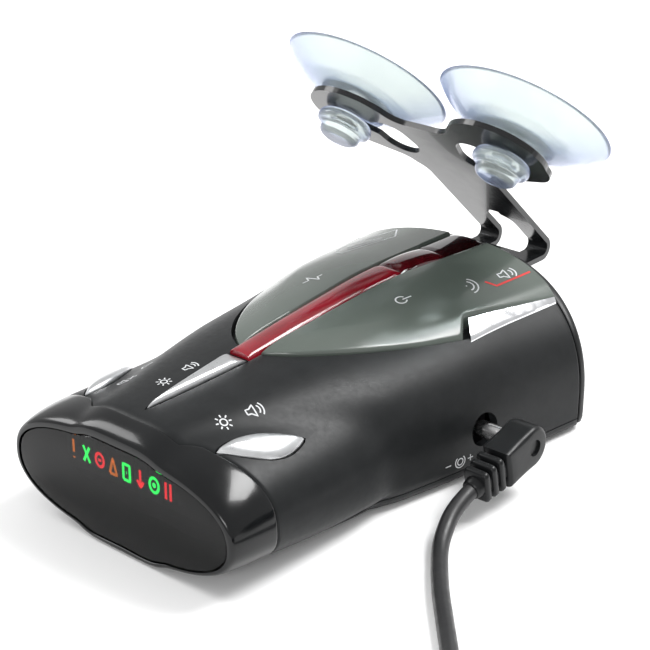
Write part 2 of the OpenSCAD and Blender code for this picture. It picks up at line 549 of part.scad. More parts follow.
function unit(v) = v / norm(v);
function route_dir(r, i) = unit(r[min(i + 1, len(r) - 1)] - r[max(i - 1, 0)]);
function ring_at(p, d, rad) = let (u = unit(cross(d, [0, 0, 1])), v = cross(u, d))
    [for (k = [0:7]) p + rad * (cos(45 * k) * u + sin(45 * k) * v)];
module tube(route, rad) skin([for (i = [0:len(route) - 1]) ring_at(route[i], route_dir(route, i), rad)]);
cord_colour = [0.07, 0.07, 0.075];
module cord_lead() color(cord_colour) tube(lead_route, cord_d / 2);
module cord_tail() color(cord_colour) tube(tail_route, cord_d / 2);
module cord_coil() color(cord_colour) translate([coil_at[0], coil_at[1], 0]) rotate_extrude($fn = 96)
    translate([coil_r - 1.5 * cord_d, coil_lift]) square([3 * cord_d, coil_top - coil_lift + cord_d / 2]);
module cord_tie() color([0.05, 0.05, 0.05]) translate([coil_at[0], coil_at[1], 0]) rotate([0, 0, 118])
    translate([coil_r - 1.5 * cord_d, -1.5, 0]) difference() {
        translate([-0.9, 0, 0]) cube([3 * cord_d + 1.8, 3, coil_top + cord_d / 2 + 0.7]);
        translate([-0.2, -1, coil_lift - 0.1])
            cube([3 * cord_d + 0.4, 5, coil_top - coil_lift + cord_d / 2 + 0.2]);
    }

// ---- Adapter for the vehicle's 12 V socket, lying on its side; X runs from the cord to the tip

module on_adapter() translate(adapter_in) rotate([0, 0, adapter_turn]) rotate([0, 90, 0]) children();
barrel_start = 42;
barrel_end = 66;
module adapter_body() color([0.05, 0.05, 0.055]) on_adapter() difference() {
    rotate_extrude($fn = 64)
        polygon([[0, 8], [7, 8], [8.6, 9.4], [11.6, 24], [12, 34], [11.4, 40], [10.6, barrel_start],
        [10.4, barrel_start + 0.6], [10.4, barrel_end], [0, barrel_end]]);
    translate([0, 0, 30]) cylinder(h = 60, r = 4.6, $fn = 40);
}
module adapter_nose() color([0.05, 0.05, 0.055]) on_adapter() translate([0, 0, barrel_end + 0.05])
    rotate_extrude($fn = 56)
    polygon([[3.3, 0], [10.2, 0], [10.2, 3.4], [8.2, 6.6], [3.3, 6.6]]);
module adapter_tip() color([0.8, 0.72, 0.45]) on_adapter() translate([0, 0, barrel_end])
    rotate_extrude($fn = 40)
    polygon([[0, -2.6], [4.2, -2.6], [4.2, -0.6], [3, -0.6], [3, 8.4], [2, 10], [0, 10.6]]);
module adapter_spring() color([0.7, 0.7, 0.72]) on_adapter() translate([0, 0, 59.4]) difference() {
    cylinder(h = 3.9, r = 3.4, $fn = 32);
    translate([0, 0, -1]) cylinder(h = 6, r = 2.7, $fn = 32);
}
module adapter_contacts() color([0.75, 0.76, 0.78]) on_adapter() for (k = [-1, 1])
    translate([0, k * 10.7, (barrel_start + barrel_end) / 2 + 2]) cube([4.4, 0.5, 15], center = true);
module adapter_fuse() color([0.8, 0.82, 0.8]) on_adapter() translate([0, 0, 33])
    cylinder(h = 26, r = 3, $fn = 32);
module adapter_grommet() color([0.06, 0.06, 0.065]) on_adapter() rotate_extrude($fn = 40)
    polygon([[0, 0], [2.6, 0], [3.1, 3], [3.9, 7.9], [0, 7.9]]);

lower_housing();
upper_housing();
rear_cover();
front_bezel();
display_window();
led_shield();
indicator_leds();
display_board();
left_top_lens();
right_top_lens();
light_strip();
laser_eye();
strip_tail();
left_trim();
right_trim();
select_button();
left_button();
right_button();
tact_switches();
main_board();
horn_antenna();
laser_receiver();
strip_leds();
speaker();
dc_jack();
jack_pin();
bracket_sleeve();
housing_screws();
bracket();
left_cup();
right_cup();
plug_shell();
plug_barrel();
plug_insulator();
plug_boot();
cord_lead();
cord_coil();
cord_tail();
cord_tie();
adapter_body();
adapter_nose();
adapter_tip();
adapter_spring();
adapter_contacts();
adapter_fuse();
adapter_grommet();
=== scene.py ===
"""Looks of the radar detector: finer surfaces and materials over the CAD frame.

The row frame is in metres, with +Z up and the display towards -Y. The helpers take millimetres.
"""

import math

import bmesh
import bpy
import numpy as np
from mathutils import Matrix, Vector
from mathutils.bvhtree import BVHTree


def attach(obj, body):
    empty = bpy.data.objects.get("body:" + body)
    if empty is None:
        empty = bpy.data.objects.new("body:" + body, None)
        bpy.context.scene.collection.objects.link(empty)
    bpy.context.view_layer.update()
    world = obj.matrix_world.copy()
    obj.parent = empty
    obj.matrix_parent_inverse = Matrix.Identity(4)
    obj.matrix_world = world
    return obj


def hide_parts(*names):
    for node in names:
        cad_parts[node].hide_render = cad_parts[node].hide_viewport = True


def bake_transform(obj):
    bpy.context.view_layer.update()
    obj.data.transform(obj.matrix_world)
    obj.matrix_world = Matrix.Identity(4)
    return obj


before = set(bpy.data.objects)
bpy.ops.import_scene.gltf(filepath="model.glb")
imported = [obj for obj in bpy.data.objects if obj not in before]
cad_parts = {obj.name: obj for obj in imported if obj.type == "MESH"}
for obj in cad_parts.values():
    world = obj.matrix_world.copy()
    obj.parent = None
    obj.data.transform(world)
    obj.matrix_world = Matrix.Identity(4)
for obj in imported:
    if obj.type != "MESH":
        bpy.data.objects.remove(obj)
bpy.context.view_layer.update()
MM = 0.001
scene = bpy.context.scene

# ---------------------------------------------------------------- camera
cam = bpy.data.objects.new("camera", bpy.data.cameras.new("camera"))
scene.collection.objects.link(cam)
cam.location = (0.1985, -0.2236, 0.1609)
cam.rotation_euler = (math.radians(90 - 23.89), 0, math.radians(40.96))
cam.data.lens = 91.6
cam.data.clip_start = 0.01
scene.camera = cam


# ---------------------------------------------------------------- node helpers
class Mat:
    """A small builder for one Principled material."""

    def __init__(self, name, color, rough, **sockets):
        self.mat = bpy.data.materials.new(name)
        self.mat.use_nodes = True
        self.t = self.mat.node_tree
        self.b = self.t.nodes["Principled BSDF"]
        self.b.inputs["Base Color"].default_value = (*color, 1)
        self.b.inputs["Roughness"].default_value = rough
        for key, val in sockets.items():
            self.b.inputs[key.replace("_", " ")].default_value = val

    def node(self, kind, **vals):
        n = self.t.nodes.new(kind)
        for key, val in vals.items():
            if key in n.inputs:
                n.inputs[key].default_value = val
            else:
                setattr(n, key, val)
        return n

    def link(self, a, b):
        self.t.links.new(a, b)
        return self

    def coords(self, scale=(1, 1, 1)):
        tc = self.node("ShaderNodeTexCoord")
        mp = self.node("ShaderNodeMapping")
        mp.inputs["Scale"].default_value = scale
        self.link(tc.outputs["Object"], mp.inputs["Vector"])
        return mp.outputs["Vector"]

    def noise(self, scale, detail=3.0, stretch=(1, 1, 1), rough=0.55):
        n = self.node("ShaderNodeTexNoise", Scale=scale, Detail=detail, Roughness=rough)
        self.link(self.coords(stretch), n.inputs["Vector"])
        return n.outputs["Fac"]

    def ramp(self, fac, lo, hi, a=0.0, b=1.0):
        r = self.node("ShaderNodeMapRange")
        for key, val in (("From Min", lo), ("From Max", hi), ("To Min", a), ("To Max", b)):
            r.inputs[key].default_value = val
        self.link(fac, r.inputs["Value"])
        return r.outputs["Result"]

    def vary_rough(self, scale, lo, hi, **k):
        self.link(self.ramp(self.noise(scale, **k), 0.3, 0.7, lo, hi), self.b.inputs["Roughness"])
        return self

    def vary_color(self, scale, ca, cb, **k):
        m = self.node("ShaderNodeMix", data_type="RGBA")
        m.inputs[6].default_value = (*ca, 1)
        m.inputs[7].default_value = (*cb, 1)
        self.link(self.ramp(self.noise(scale, **k), 0.35, 0.65), m.inputs[0])
        self.link(m.outputs[2], self.b.inputs["Base Color"])
        return self

    def bump(self, scale, strength, dist, **k):
        b = self.node("ShaderNodeBump", Strength=strength, Distance=dist)
        self.link(self.noise(scale, **k), b.inputs["Height"])
        prev = self.b.inputs["Normal"].links
        if prev:
            self.link(prev[0].from_socket, b.inputs["Normal"])
        self.link(b.outputs["Normal"], self.b.inputs["Normal"])
        return self


def moulded(name, color, rough, grain=0.12, coat=0.0, spec=0.35):
    m = Mat(name, color, rough, Coat_Weight=coat, Coat_Roughness=0.12, Specular_IOR_Level=spec)
    m.vary_color(260, color, tuple(c * 1.2 + 0.0008 for c in color), detail=4)
    m.vary_rough(900, rough - 0.03, rough + 0.04)
    return m.bump(3600, grain, 0.00004, detail=2).mat


def glossy(name, color, rough=0.07, coat=1.0, spec=0.5):
    m = Mat(name, color, rough, Coat_Weight=coat, Coat_Roughness=0.03, Specular_IOR_Level=spec)
    m.vary_color(60, color, tuple(c * 1.5 + 0.001 for c in color))
    m.vary_rough(400, rough, rough + 0.05, detail=5)
    return m.bump(160, 0.05, 0.00012, detail=2).mat


def metal(name, color, rough, grain=0.1, stretch=(1, 1, 1)):
    m = Mat(name, color, rough, Metallic=1.0)
    m.vary_color(300, tuple(c * 0.93 for c in color), color, stretch=stretch)
    m.vary_rough(500, rough - 0.04, rough + 0.07, stretch=stretch)
    return m.bump(2600, grain, 0.00002, stretch=stretch).mat


HOUSING = moulded("housing_soft_touch", (0.0088, 0.0096, 0.0102), 0.40, 0.08, 0.0, 0.20)
REAR = moulded("rear_panel_plastic", (0.006, 0.0065, 0.007), 0.36, 0.10, 0.0, 0.25)
BEZEL = glossy("bezel_gloss", (0.0026, 0.0030, 0.0034), 0.17, 0.16, 0.26)
BLACK = moulded("black_moulding", (0.010, 0.010, 0.011), 0.42, 0.1)
PLUG = moulded("plug_moulding", (0.0065, 0.0070, 0.0075), 0.34, 0.12, 0.0, 0.25)
ADAPTER = moulded("adapter_moulding", (0.012, 0.012, 0.013), 0.34, 0.1, 0.3)
CHROME = metal("bright_trim", (0.80, 0.81, 0.83), 0.15, 0.03)
BUTTON = metal("button_silver", (0.70, 0.71, 0.72), 0.30, 0.12)
NICKEL = metal("nickel", (0.66, 0.66, 0.66), 0.20, 0.05)
STEEL = metal("zinc_steel", (0.50, 0.50, 0.51), 0.33, 0.15)
BRASS = metal("brass", (0.80, 0.62, 0.30), 0.24, 0.06)
CAST = metal("cast_aluminium", (0.56, 0.57, 0.59), 0.45, 0.5)
BOARD = moulded("solder_mask", (0.012, 0.085, 0.035), 0.35, 0.3)
INK = moulded("grey_ink", (0.50, 0.51, 0.52), 0.55, 0.2)
RED_INK = moulded("red_ink", (0.50, 0.02, 0.02), 0.5, 0.2)
PAINT = glossy("bracket_black_gloss", (0.006, 0.0065, 0.007), 0.20, 0.22, 0.32)

_m = Mat("window_smoked", (0.045, 0.048, 0.05), 0.05, IOR=1.27, Transmission_Weight=1.0)
_m.vary_rough(60, 0.03, 0.07).bump(45, 0.03, 0.0002)
WINDOW = _m.mat

_m = Mat("lens_tint", (0.085, 0.100, 0.088), 0.26, Coat_Weight=0.35, Coat_Roughness=0.16,
         Specular_IOR_Level=0.34)
_m.vary_color(45, (0.076, 0.092, 0.080), (0.092, 0.108, 0.095), stretch=(1, 0.4, 1), detail=3)
_m.vary_rough(600, 0.19, 0.25).bump(900, 0.03, 0.00004)
LENS = _m.mat

_m = Mat("strip_red", (0.19, 0.003, 0.010), 0.16, Coat_Weight=0.6, Coat_Roughness=0.08,
         Specular_IOR_Level=0.35, Subsurface_Weight=0.25, Subsurface_Scale=0.001)
_m.vary_color(260, (0.15, 0.002, 0.007), (0.23, 0.003, 0.012), stretch=(1, 0.25, 1))
_m.bump(500, 0.08, 0.00005)
RED = _m.mat

_m = Mat("strip_deep_red", (0.045, 0.001, 0.003), 0.12, Coat_Weight=1.0, Coat_Roughness=0.03)
_m.vary_color(240, (0.035, 0.001, 0.002), (0.075, 0.002, 0.005)).bump(400, 0.06, 0.00005)
DEEP_RED = _m.mat

_m = Mat("strip_dark", (0.010, 0.001, 0.0015), 0.12, Coat_Weight=1.0, Coat_Roughness=0.03)
_m.vary_color(240, (0.008, 0.001, 0.001), (0.018, 0.001, 0.002)).bump(400, 0.05, 0.00005)
DARK_RED = _m.mat

_m = Mat("clear_vinyl", (0.66, 0.72, 0.72), 0.16, IOR=1.36, Transmission_Weight=0.80)
lw = _m.node("ShaderNodeLayerWeight", Blend=0.35)
edge = _m.node("ShaderNodeMix", data_type="RGBA")
edge.inputs[6].default_value = (0.66, 0.73, 0.72, 1)
edge.inputs[7].default_value = (0.22, 0.28, 0.74, 1)
_m.link(_m.ramp(lw.outputs["Facing"], 0.22, 0.85), edge.inputs[0])
_m.link(edge.outputs[2], _m.b.inputs["Base Color"])
_m.vary_rough(120, 0.12, 0.20).bump(70, 0.10, 0.0003)
VINYL = _m.mat

_m = Mat("sheath", (0.012, 0.012, 0.013), 0.42)
_m.vary_color(160, (0.010, 0.010, 0.011), (0.018, 0.018, 0.019)).vary_rough(500, 0.36, 0.5)
_m.bump(1500, 0.15, 0.00006)
SHEATH = _m.mat

_m = Mat("fuse_glass", (0.85, 0.9, 0.87), 0.04, IOR=1.5, Transmission_Weight=1.0)
_m.bump(90, 0.03, 0.0002)
FUSE = _m.mat


def glow(name, color, strength):
    """A lit material with a slightly uneven strength."""
    m = Mat(name, tuple(c * 0.4 for c in color), 0.4, Emission_Color=(*color, 1))
    n = m.ramp(m.noise(900, detail=2), 0.3, 0.7, strength * 0.82, strength)
    return m.link(n, m.b.inputs["Emission Strength"]).mat


def cad_material(name, mat):
    """Gives a CAD node its material, and smooths it."""
    o = bpy.data.objects[name]
    o.data.materials.clear()
    o.data.materials.append(mat)
    shade(o, 32)
    return o


# ---------------------------------------------------------------- mesh helpers
def shade(o, angle=None):
    """Smooth shading, with the edges sharper than an angle left hard."""
    me = o.data
    me.polygons.foreach_set("use_smooth", [True] * len(me.polygons))
    if angle is None:
        return
    bm = bmesh.new()
    bm.from_mesh(me)
    lim = math.radians(angle)
    for e in bm.edges:
        e.smooth = len(e.link_faces) == 2 and e.calc_face_angle(3.2) < lim
    bm.to_mesh(me)
    bm.free()


def piece(name, verts, faces, mat, body, node=(), slot=None, angle=32, fix=True):
    """A mesh piece in millimetres that stands for the CAD nodes named."""
    me = bpy.data.meshes.new(name)
    me.from_pydata([tuple(float(c) * MM for c in v) for v in verts], [], faces)
    o = bpy.data.objects.new(name, me)
    scene.collection.objects.link(o)
    if fix:
        bm = bmesh.new()
        bm.from_mesh(me)
        bmesh.ops.remove_doubles(bm, verts=bm.verts, dist=1e-8)
        bmesh.ops.recalc_face_normals(bm, faces=bm.faces)
        bm.to_mesh(me)
        bm.free()
    me.materials.append(mat)
    shade(o, angle)
    if body:
        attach(o, body)
    if node:
        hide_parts(*([node] if isinstance(node, str) else node))
    return o


def grid_faces(m, n, base=0, wrap=False, flip=False):
    """Quads over m rows of n vertices."""
    out = []
    for i in range(m - 1):
        for j in range(n if wrap else n - 1):
            a, b = base + i * n + j, base + i * n + (j + 1) % n
            f = (a, b, b + n, a + n)
            out.append(f[::-1] if flip else f)
    return out


def slab(name, top, under, *args, **kw):
    """A closed sheet between a grid of outer points and a grid of inner ones."""
    top, under = np.asarray(top), np.asarray(under)
    m, n = top.shape[:2]
    k = m * n
    faces = grid_faces(m, n) + grid_faces(m, n, k, flip=True)
    rim = [i * n for i in range(m)] + [(m - 1) * n + j for j in range(1, n)]
    rim += [i * n + n - 1 for i in range(m - 2, -1, -1)] + list(range(n - 2, 0, -1))
    for p, q in zip(rim, rim[1:] + rim[:1]):
        faces.append((p, q, q + k, p + k))
    return piece(name, np.concatenate([top.reshape(-1, 3), under.reshape(-1, 3)]), faces, *args, **kw)


def rings(name, loops, *args, caps=True, closed=False, **kw):
    """A skin through loops of the same count, capped, or joined into a torus."""
    loops = np.asarray(loops)
    m, n = loops.shape[:2]
    faces = grid_faces(m, n, wrap=True)
    if closed:
        last = (m - 1) * n
        faces += [(last + j, last + (j + 1) % n, (j + 1) % n, j) for j in range(n)]
    elif caps:
        faces += [tuple(range(n)), tuple((m - 1) * n + j for j in range(n))]
    return piece(name, loops.reshape(-1, 3), faces, *args, **kw)


def cut(o, tool):
    """Cuts tool out of o, and removes tool."""
    mod = o.modifiers.new("cut", "BOOLEAN")
    mod.operation = "DIFFERENCE"
    mod.solver = "EXACT"
    mod.object = tool
    apply(o)
    bpy.data.objects.remove(tool)
    shade(o, 32)
    return o


def apply(o):
    """Bakes an object's modifiers into its mesh."""
    dg = bpy.context.evaluated_depsgraph_get()
    me = bpy.data.meshes.new_from_object(o.evaluated_get(dg))
    old = o.data
    o.modifiers.clear()
    o.data = me
    bpy.data.meshes.remove(old)


def prism(outline, z0, z1):
    """A scratch prism for cutting, from an outline in the top view (mm)."""
    n = len(outline)
    v = [(x * MM, y * MM, z * MM) for z in (z0, z1) for x, y in outline]
    f = [tuple(range(n))[::-1], tuple(range(n, 2 * n))]
    f += [(i, (i + 1) % n, n + (i + 1) % n, n + i) for i in range(n)]
    return scratch(v, f)


def scratch(v, f):
    """An object for cutting only, with its points in metres."""
    me = bpy.data.meshes.new("scratch")
    me.from_pydata(v, [], f)
    bm = bmesh.new()
    bm.from_mesh(me)
    bmesh.ops.recalc_face_normals(bm, faces=bm.faces)
    bm.to_mesh(me)
    bm.free()
    o = bpy.data.objects.new("scratch", me)
    scene.collection.objects.link(o)
    return o


def turn_matrix(at, axis):
    """Matrix that takes local +Z to axis, at a point in mm."""
    q = Vector((0, 0, 1)).rotation_difference(Vector(axis).normalized())
    return Matrix.Translation(Vector(at) * MM) @ q.to_matrix().to_4x4()


def lathe(name, profile, at, axis, mat, body, node=(), slot=None, sides=96, angle=32, closed=False):
    """A turned piece: profile of (radius, height) in mm about an axis through a point."""
    m = turn_matrix(at, axis)
    loops = []
    for r, h in profile:
        row = []
        for k in range(sides):
            a = 2 * math.pi * k / sides
            p = m @ Vector((max(r, 1e-4) * math.cos(a) * MM, max(r, 1e-4) * math.sin(a) * MM, h * MM))
            row.append([c / MM for c in p])
        loops.append(row)
    return rings(name, loops, mat, body, node, slot, angle=angle, closed=closed)


def rounded(profile, r=0.4, steps=4):
    """Rounds the inner corners of an open profile."""
    out = [profile[0]]
    for p, q, s in zip(profile, profile[1:], profile[2:]):
        p, q, s = (np.array(v, float) for v in (p, q, s))
        a, b = p - q, s - q
        d = min(r, 0.45 * np.linalg.norm(a), 0.45 * np.linalg.norm(b))
        if d < 1e-4:
            out.append(tuple(q))
            continue
        a, b = q + a / np.linalg.norm(a) * d, q + b / np.linalg.norm(b) * d
        for k in range(steps + 1):
            t = k / steps
            out.append(tuple((1 - t) ** 2 * a + 2 * t * (1 - t) * q + t * t * b))
    return out + [profile[-1]]


# ---------------------------------------------------------------- the body's shape, as in part.scad
FRONT, LEN, HALF_R, BOWR, SPLIT, WALL, ROOF, RECESS = -52.0, 98.0, 36.8, 10.0, 3.0, 1.8, 3.0, 1.8
SEL_END, LENS0, SHOULDER, LENS_W = 32.2, 35.0, 73.0, 25.2
SHELL_END = LEN - 2.4


def look(s, pts):
    """Straight interpolation in (station, value) pairs."""
    return np.interp(s, [p[0] for p in pts], [p[1] for p in pts])


def soft(s, pts, reach):
    """The same, averaged over a stretch so that its corners are soft."""
    s = np.asarray(s, float)
    return sum(look(s + reach * k / 8, pts) for k in range(-8, 9)) / 17


def nose(s):
    """The front's rounding: 1 at the display face, 0 from 9 mm back."""
    u = np.maximum(0, 9 - np.asarray(s, float)) / 9
    return 1 - np.sqrt(np.maximum(0, 1 - u * u))


def top_h(s):
    """Height of the roof along the middle."""
    return soft(s, [(0, 26.1), (32, 28.4), (72, 32), (98, 30.6)], 7) - 3.1 * nose(s)


def station(s):
    """Width, height and squareness of the middle lobe (t) and the side lobes (p) at a station."""
    mid = soft(s, [(0, 12), (11, 11), (60, 9), (98, 7.5)], 6)
    th, bh = top_h(s), 0.6 * nose(s)
    drop = soft(s, [(0, 1), (11, 1.2), (42, 3.5), (60, 9)], 4)
    return dict(
        mid=mid, tu=th - mid, td=mid - bh, pu=th - drop - mid, pd=mid - bh - 0.8,
        tw=soft(s, [(0, 13), (11, 14.5), (45, 28.6), (60, 31.4), (98, HALF_R)], 3),
        tn=soft(s, [(0, 4), (11, 4), (45, 2.5), (60, 2.3), (98, 2.5)], 4),
        bn=soft(s, [(0, 5), (11, 5), (30, 6), (60, 9)], 4),
        pw=np.maximum(8, 29.3 - nose(s) - 2.6 * (np.maximum(0, np.asarray(s, float) - 32) / 14) ** 3),
        pbn=soft(s, [(0, 2.3), (11, 2.5), (60, 6)], 4))


def lobe_r(c, s, w, h, n):
    """Radius of a lobe in the direction (c, s)."""
    return (np.abs(c / w) ** n + np.abs(s / h) ** n) ** (-1 / n)


def section(s, a, inset=0.0):
    """Outline of the body at a station, at polar angles a."""
    st = station(s)
    c, sn = np.cos(a), np.sin(a)
    up = sn >= 0
    main = lobe_r(c, sn, st["tw"], np.where(up, st["tu"], st["td"]), np.where(up, st["tn"], st["bn"]))
    pod = lobe_r(c, sn, st["pw"], np.where(up, st["pu"], st["pd"]), np.where(up, 2.4, st["pbn"]))
    r = (main ** 30 + pod ** 30) ** (1 / 30) - inset
    return r * c, st["mid"] + r * sn


def lobe_h(x, w, h, n):
    """Height of a lobe at a distance x from its middle, 0 past its width."""
    full = np.maximum(1e-12, 1 - np.minimum(1, np.abs(x) / w) ** n)
    return np.where(np.abs(x) >= w, 0, h * full ** (1 / n))


def top_z(x, s):
    """Height of the roof, a smooth union of the two lobes."""
    st = station(s)
    a, b = lobe_h(x, st["tw"], st["tu"], st["tn"]), lobe_h(x, st["pw"], st["pu"], 2.4)
    hi = np.maximum(a, b)
    safe = np.maximum(hi, 1e-9)
    return st["mid"] + hi * ((a / safe) ** 30 + (b / safe) ** 30) ** (1 / 30)


def base_z(x, s):
    """Height of the underside, flat where it would go below the base plane."""
    st = station(s)
    d = np.maximum(lobe_h(x, st["tw"], st["td"], st["bn"]), lobe_h(x, st["pw"], st["pd"], st["pbn"]))
    return np.maximum(0, st["mid"] - 0.3 - d)


def split_x(s):
    """Half width at the height where the two shells meet."""
    st = station(s)
    dz = st["mid"] - SPLIT

    def lobe_w(w, h, n):
        return w * np.maximum(0, 1 - np.minimum(1, dz / h) ** n) ** (1 / n)

    return np.maximum(lobe_w(st["tw"], st["td"], st["bn"]), lobe_w(st["pw"], st["pd"], st["pbn"]))


def bow(s):
    """How far the tail bows back at the middle."""
    return BOWR * (np.maximum(0, np.asarray(s, float) - 50) / 48) ** 2


def place(x, s, z):
    """A point of the body: across, at a station from the display face, and up."""
    x, s, z = np.broadcast_arrays(np.asarray(x, float), np.asarray(s, float), np.asarray(z, float))
    return np.stack([x, s + FRONT + bow(s) * (1 - (x / HALF_R) ** 2), z], -1)


def strip_w(s):
    """Half width of the ridge."""
    return soft(s, [(SEL_END, 2.35), (52, 2.9), (75, 3.5), (98, 4.6)], 3)


def lens_w(s):
    """Outer half width of the lens's recess."""
    s = np.asarray(s, float)
    nose_part = LENS_W * np.clip((s - LENS0) / (SHOULDER - LENS0), 0, 1) ** 0.48
    return nose_part + 2.2 * np.maximum(0, s - SHOULDER) / (LEN - SHOULDER)


def trim_in(s):
    """Inner edge of the silver trim."""
    return LENS_W - 3.8 + 5.6 * (s - SHOULDER) / (LEN - SHOULDER)


# ---------------------------------------------------------------- cord, first of the pieces
JACK_Y, JACK_Z, PLUG_X, TILT = FRONT + 67.8, 10.1, 38.0, math.radians(12)
TAIL_DIR = np.array([0, -math.cos(TILT), -math.sin(TILT)])
PLUG_UP = np.array([0, -math.sin(TILT), math.cos(TILT)])
PLUG_HALF = 3.2
PLUG_C = np.array([PLUG_X + PLUG_HALF, JACK_Y, JACK_Z])
CORD = 3.2
LOW = CORD / 2
LEAD = [tuple(PLUG_C + TAIL_DIR * 15), (41.2, -1.8, 6.2), (41.3, -4.6, 5.3), (41.7, -7.4, 4.2),
        (42.6, -10.2, 3), (44, -13.2, 2.1), (46, -16.3, LOW), (48.4, -19.5, LOW), (51, -22.8, LOW),
        (54, -26.4, LOW), (57.4, -30.2, LOW), (61, -34.2, LOW), (64.8, -38.4, LOW), (68.8, -43, LOW),
        (73, -48, LOW), (77.4, -53.6, LOW), (81.6, -59.6, LOW), (85.4, -66, LOW), (89, -72.8, LOW),
        (93, -79.9, LOW)]
COIL, LIFT, LAYER = np.array([111.0, -67.0]), 0.7, 2.9
TOP = LOW + LIFT + 3 * LAYER
TAIL = [(133.2, -67, TOP), (133.1, -57, 10.6), (132.5, -48.5, 9.9), (131, -40.5, 9.7), (128.6, -33, 10.2),
        (125.4, -26.3, 11.2), (122, -20.1, 11.9), (118.5, -14, 12), (116.0, -9.7, 12), (111.0, -1.0, 12),
        (106.1, 7.6, 12)]


def spline(pts, per):
    """A smooth curve through the points, several steps to each."""
    p = np.array([2 * np.array(pts[0]) - pts[1]] + [np.array(q) for q in pts]
                 + [2 * np.array(pts[-1]) - pts[-2]])
    out = []
    for i in range(1, len(p) - 2):
        for k in range(per):
            t = k / per
            out.append(0.5 * (2 * p[i] + (p[i + 1] - p[i - 1]) * t
                              + (2 * p[i - 1] - 5 * p[i] + 4 * p[i + 1] - p[i + 2]) * t * t
                              + (3 * p[i] - p[i - 1] - 3 * p[i + 1] + p[i + 2]) * t ** 3))
    return out + [p[-2]]


def coil_points():
    """Eleven and a quarter turns in four layers of three, out and in by turns."""
    radii = [22.2, 19.0, 15.8, 15.8, 19.0, 22.2, 22.2, 19.0, 15.8, 15.8, 19.0, 22.2]
    heights = [LOW + LIFT + LAYER * (i // 3) for i in range(12)]
    start = math.atan2(LEAD[-1][1] - COIL[1], LEAD[-1][0] - COIL[0])
    end = math.atan2(TAIL[0][1] - COIL[1], TAIL[0][0] - COIL[0])
    total = 11 + ((end - start) % (2 * math.pi)) / (2 * math.pi)
    out = []
    for k in range(1, int(total * 40)):
        turns = k / 40
        i, f = int(turns), turns - int(turns)
        blend = min(1, f / 0.16)
        blend = blend * blend * (3 - 2 * blend)
        before = max(i - 1, 0)
        r = radii[before] + (radii[i] - radii[before]) * blend
        z = heights[before] + (heights[i] - heights[before]) * blend
        z = LOW + (z - LOW) * min(1, turns / 0.12)
        a = start + 2 * math.pi * turns
        out.append(np.array([COIL[0] + r * math.cos(a), COIL[1] + r * math.sin(a), z]))
    return out


route = spline(LEAD, 4) + coil_points() + spline(TAIL, 4)
curve = bpy.data.curves.new("power_cord", "CURVE")
curve.dimensions = "3D"
curve.bevel_depth = CORD / 2 * MM
curve.bevel_resolution = 5
curve.use_fill_caps = True
sp = curve.splines.new("POLY")
sp.points.add(len(route) - 1)
for q, p in zip(sp.points, route):
    q.co = (*(float(c) * MM for c in p), 1)
sp.use_smooth = True
curve.materials.append(SHEATH)
cord = bpy.data.objects.new("power_cord", curve)
scene.collection.objects.link(cord)
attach(cord, "power_lead")
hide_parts("cord_lead", "cord_coil", "cord_tail")

# ---------------------------------------------------------------- upper housing
SIDE, FLOOR = 44, 12
SEAM_DEEP, SHELL_START, PULL_END = 11.0, 11.1, 16
rows = np.unique(np.round(np.concatenate([
    [SHELL_START, 11.2, 11.4, 11.8], np.arange(12.5, 36, 0.6), [SEL_END - 0.02, SEL_END],
    LENS0 + 0.3 + np.array([0, 0.2, 0.5, 0.9, 1.5, 2.2]), np.arange(38, 95.2, 1.0),
    [SHELL_END - 0.3, SHELL_END]]), 3))


def seam_s(x, up):
    """Station of the bezel's rear seam: shallow over the middle of the top, deep at the sides and below."""
    top = look(np.abs(x), [(0, 4.7), (12.2, 5.0), (13.6, 6.6), (15.0, 7.7), (17, 8.1), (20, 8.9),
                           (25, 10.2), (28.5, 11)])
    return np.where(up, top, SEAM_DEEP)


def edge_round(s):
    """How far the shell draws in at its two ends."""
    a = np.clip((11.5 - s) / 0.4, 0, 1)
    b = np.clip((s - SHELL_END + 0.35) / 0.35, 0, 1)
    return 0.28 * a * a + 0.22 * b * b


def pull(s, x, up):
    """Moves the shell's first stations forward to the bezel's seam."""
    if s >= PULL_END:
        return np.full(np.shape(x), float(s))
    lim = seam_s(x, up) + 0.1
    return lim + (s - SHELL_START) * (PULL_END - lim) / (PULL_END - SHELL_START)


def shell_half(s, inner):
    """One side of the shell's section, from the middle of the roof to the seam."""
    e = max(strip_w(s) + 0.3, float(lens_w(s)))
    deep = RECESS if s >= SEL_END else 0
    st = station(s)
    x = e * np.linspace(0, 1, FLOOR)
    xs = float(split_x(s))
    a0 = math.atan2(float(top_z(e, s)) - float(st["mid"]), e) - 0.001
    a1 = math.atan2(SPLIT - float(st["mid"]), xs)
    f = np.linspace(0, 1, SIDE)
    a = a0 + (a1 - a0) * f
    thick = WALL + (ROOF - WALL) * (1 - f) ** 3 if inner else edge_round(s)
    px, pz = section(s, a, thick)
    ps = pull(s, px, pz > float(st["mid"]))
    px, pz = section(ps, a, thick)
    if not inner:
        pz[-1], px[-1] = SPLIT + 0.05, xs - edge_round(s) - 0.12
        px[-2], pz[-2] = xs - edge_round(s), SPLIT + 0.22
    else:
        px[-1], pz[-1] = xs - WALL, SPLIT + 0.05
    fs = pull(s, x, True)
    fz = top_z(x, fs) - (ROOF if inner else deep + edge_round(s))
    return np.concatenate([x, px]), np.concatenate([fz, pz]), np.concatenate([fs, ps])


def shell_row(s, inner):
    x, z, t = shell_half(s, inner)
    return np.concatenate([place(x[:0:-1], t[:0:-1], z[:0:-1]), place(-x, t, z)])


upper = slab("upper_shell", [shell_row(s, False) for s in rows], [shell_row(s, True) for s in rows],
             HOUSING, "detector", "upper_housing", "housing")


# ---------------------------------------------------------------- buttons
SEL_TIP = 8.2


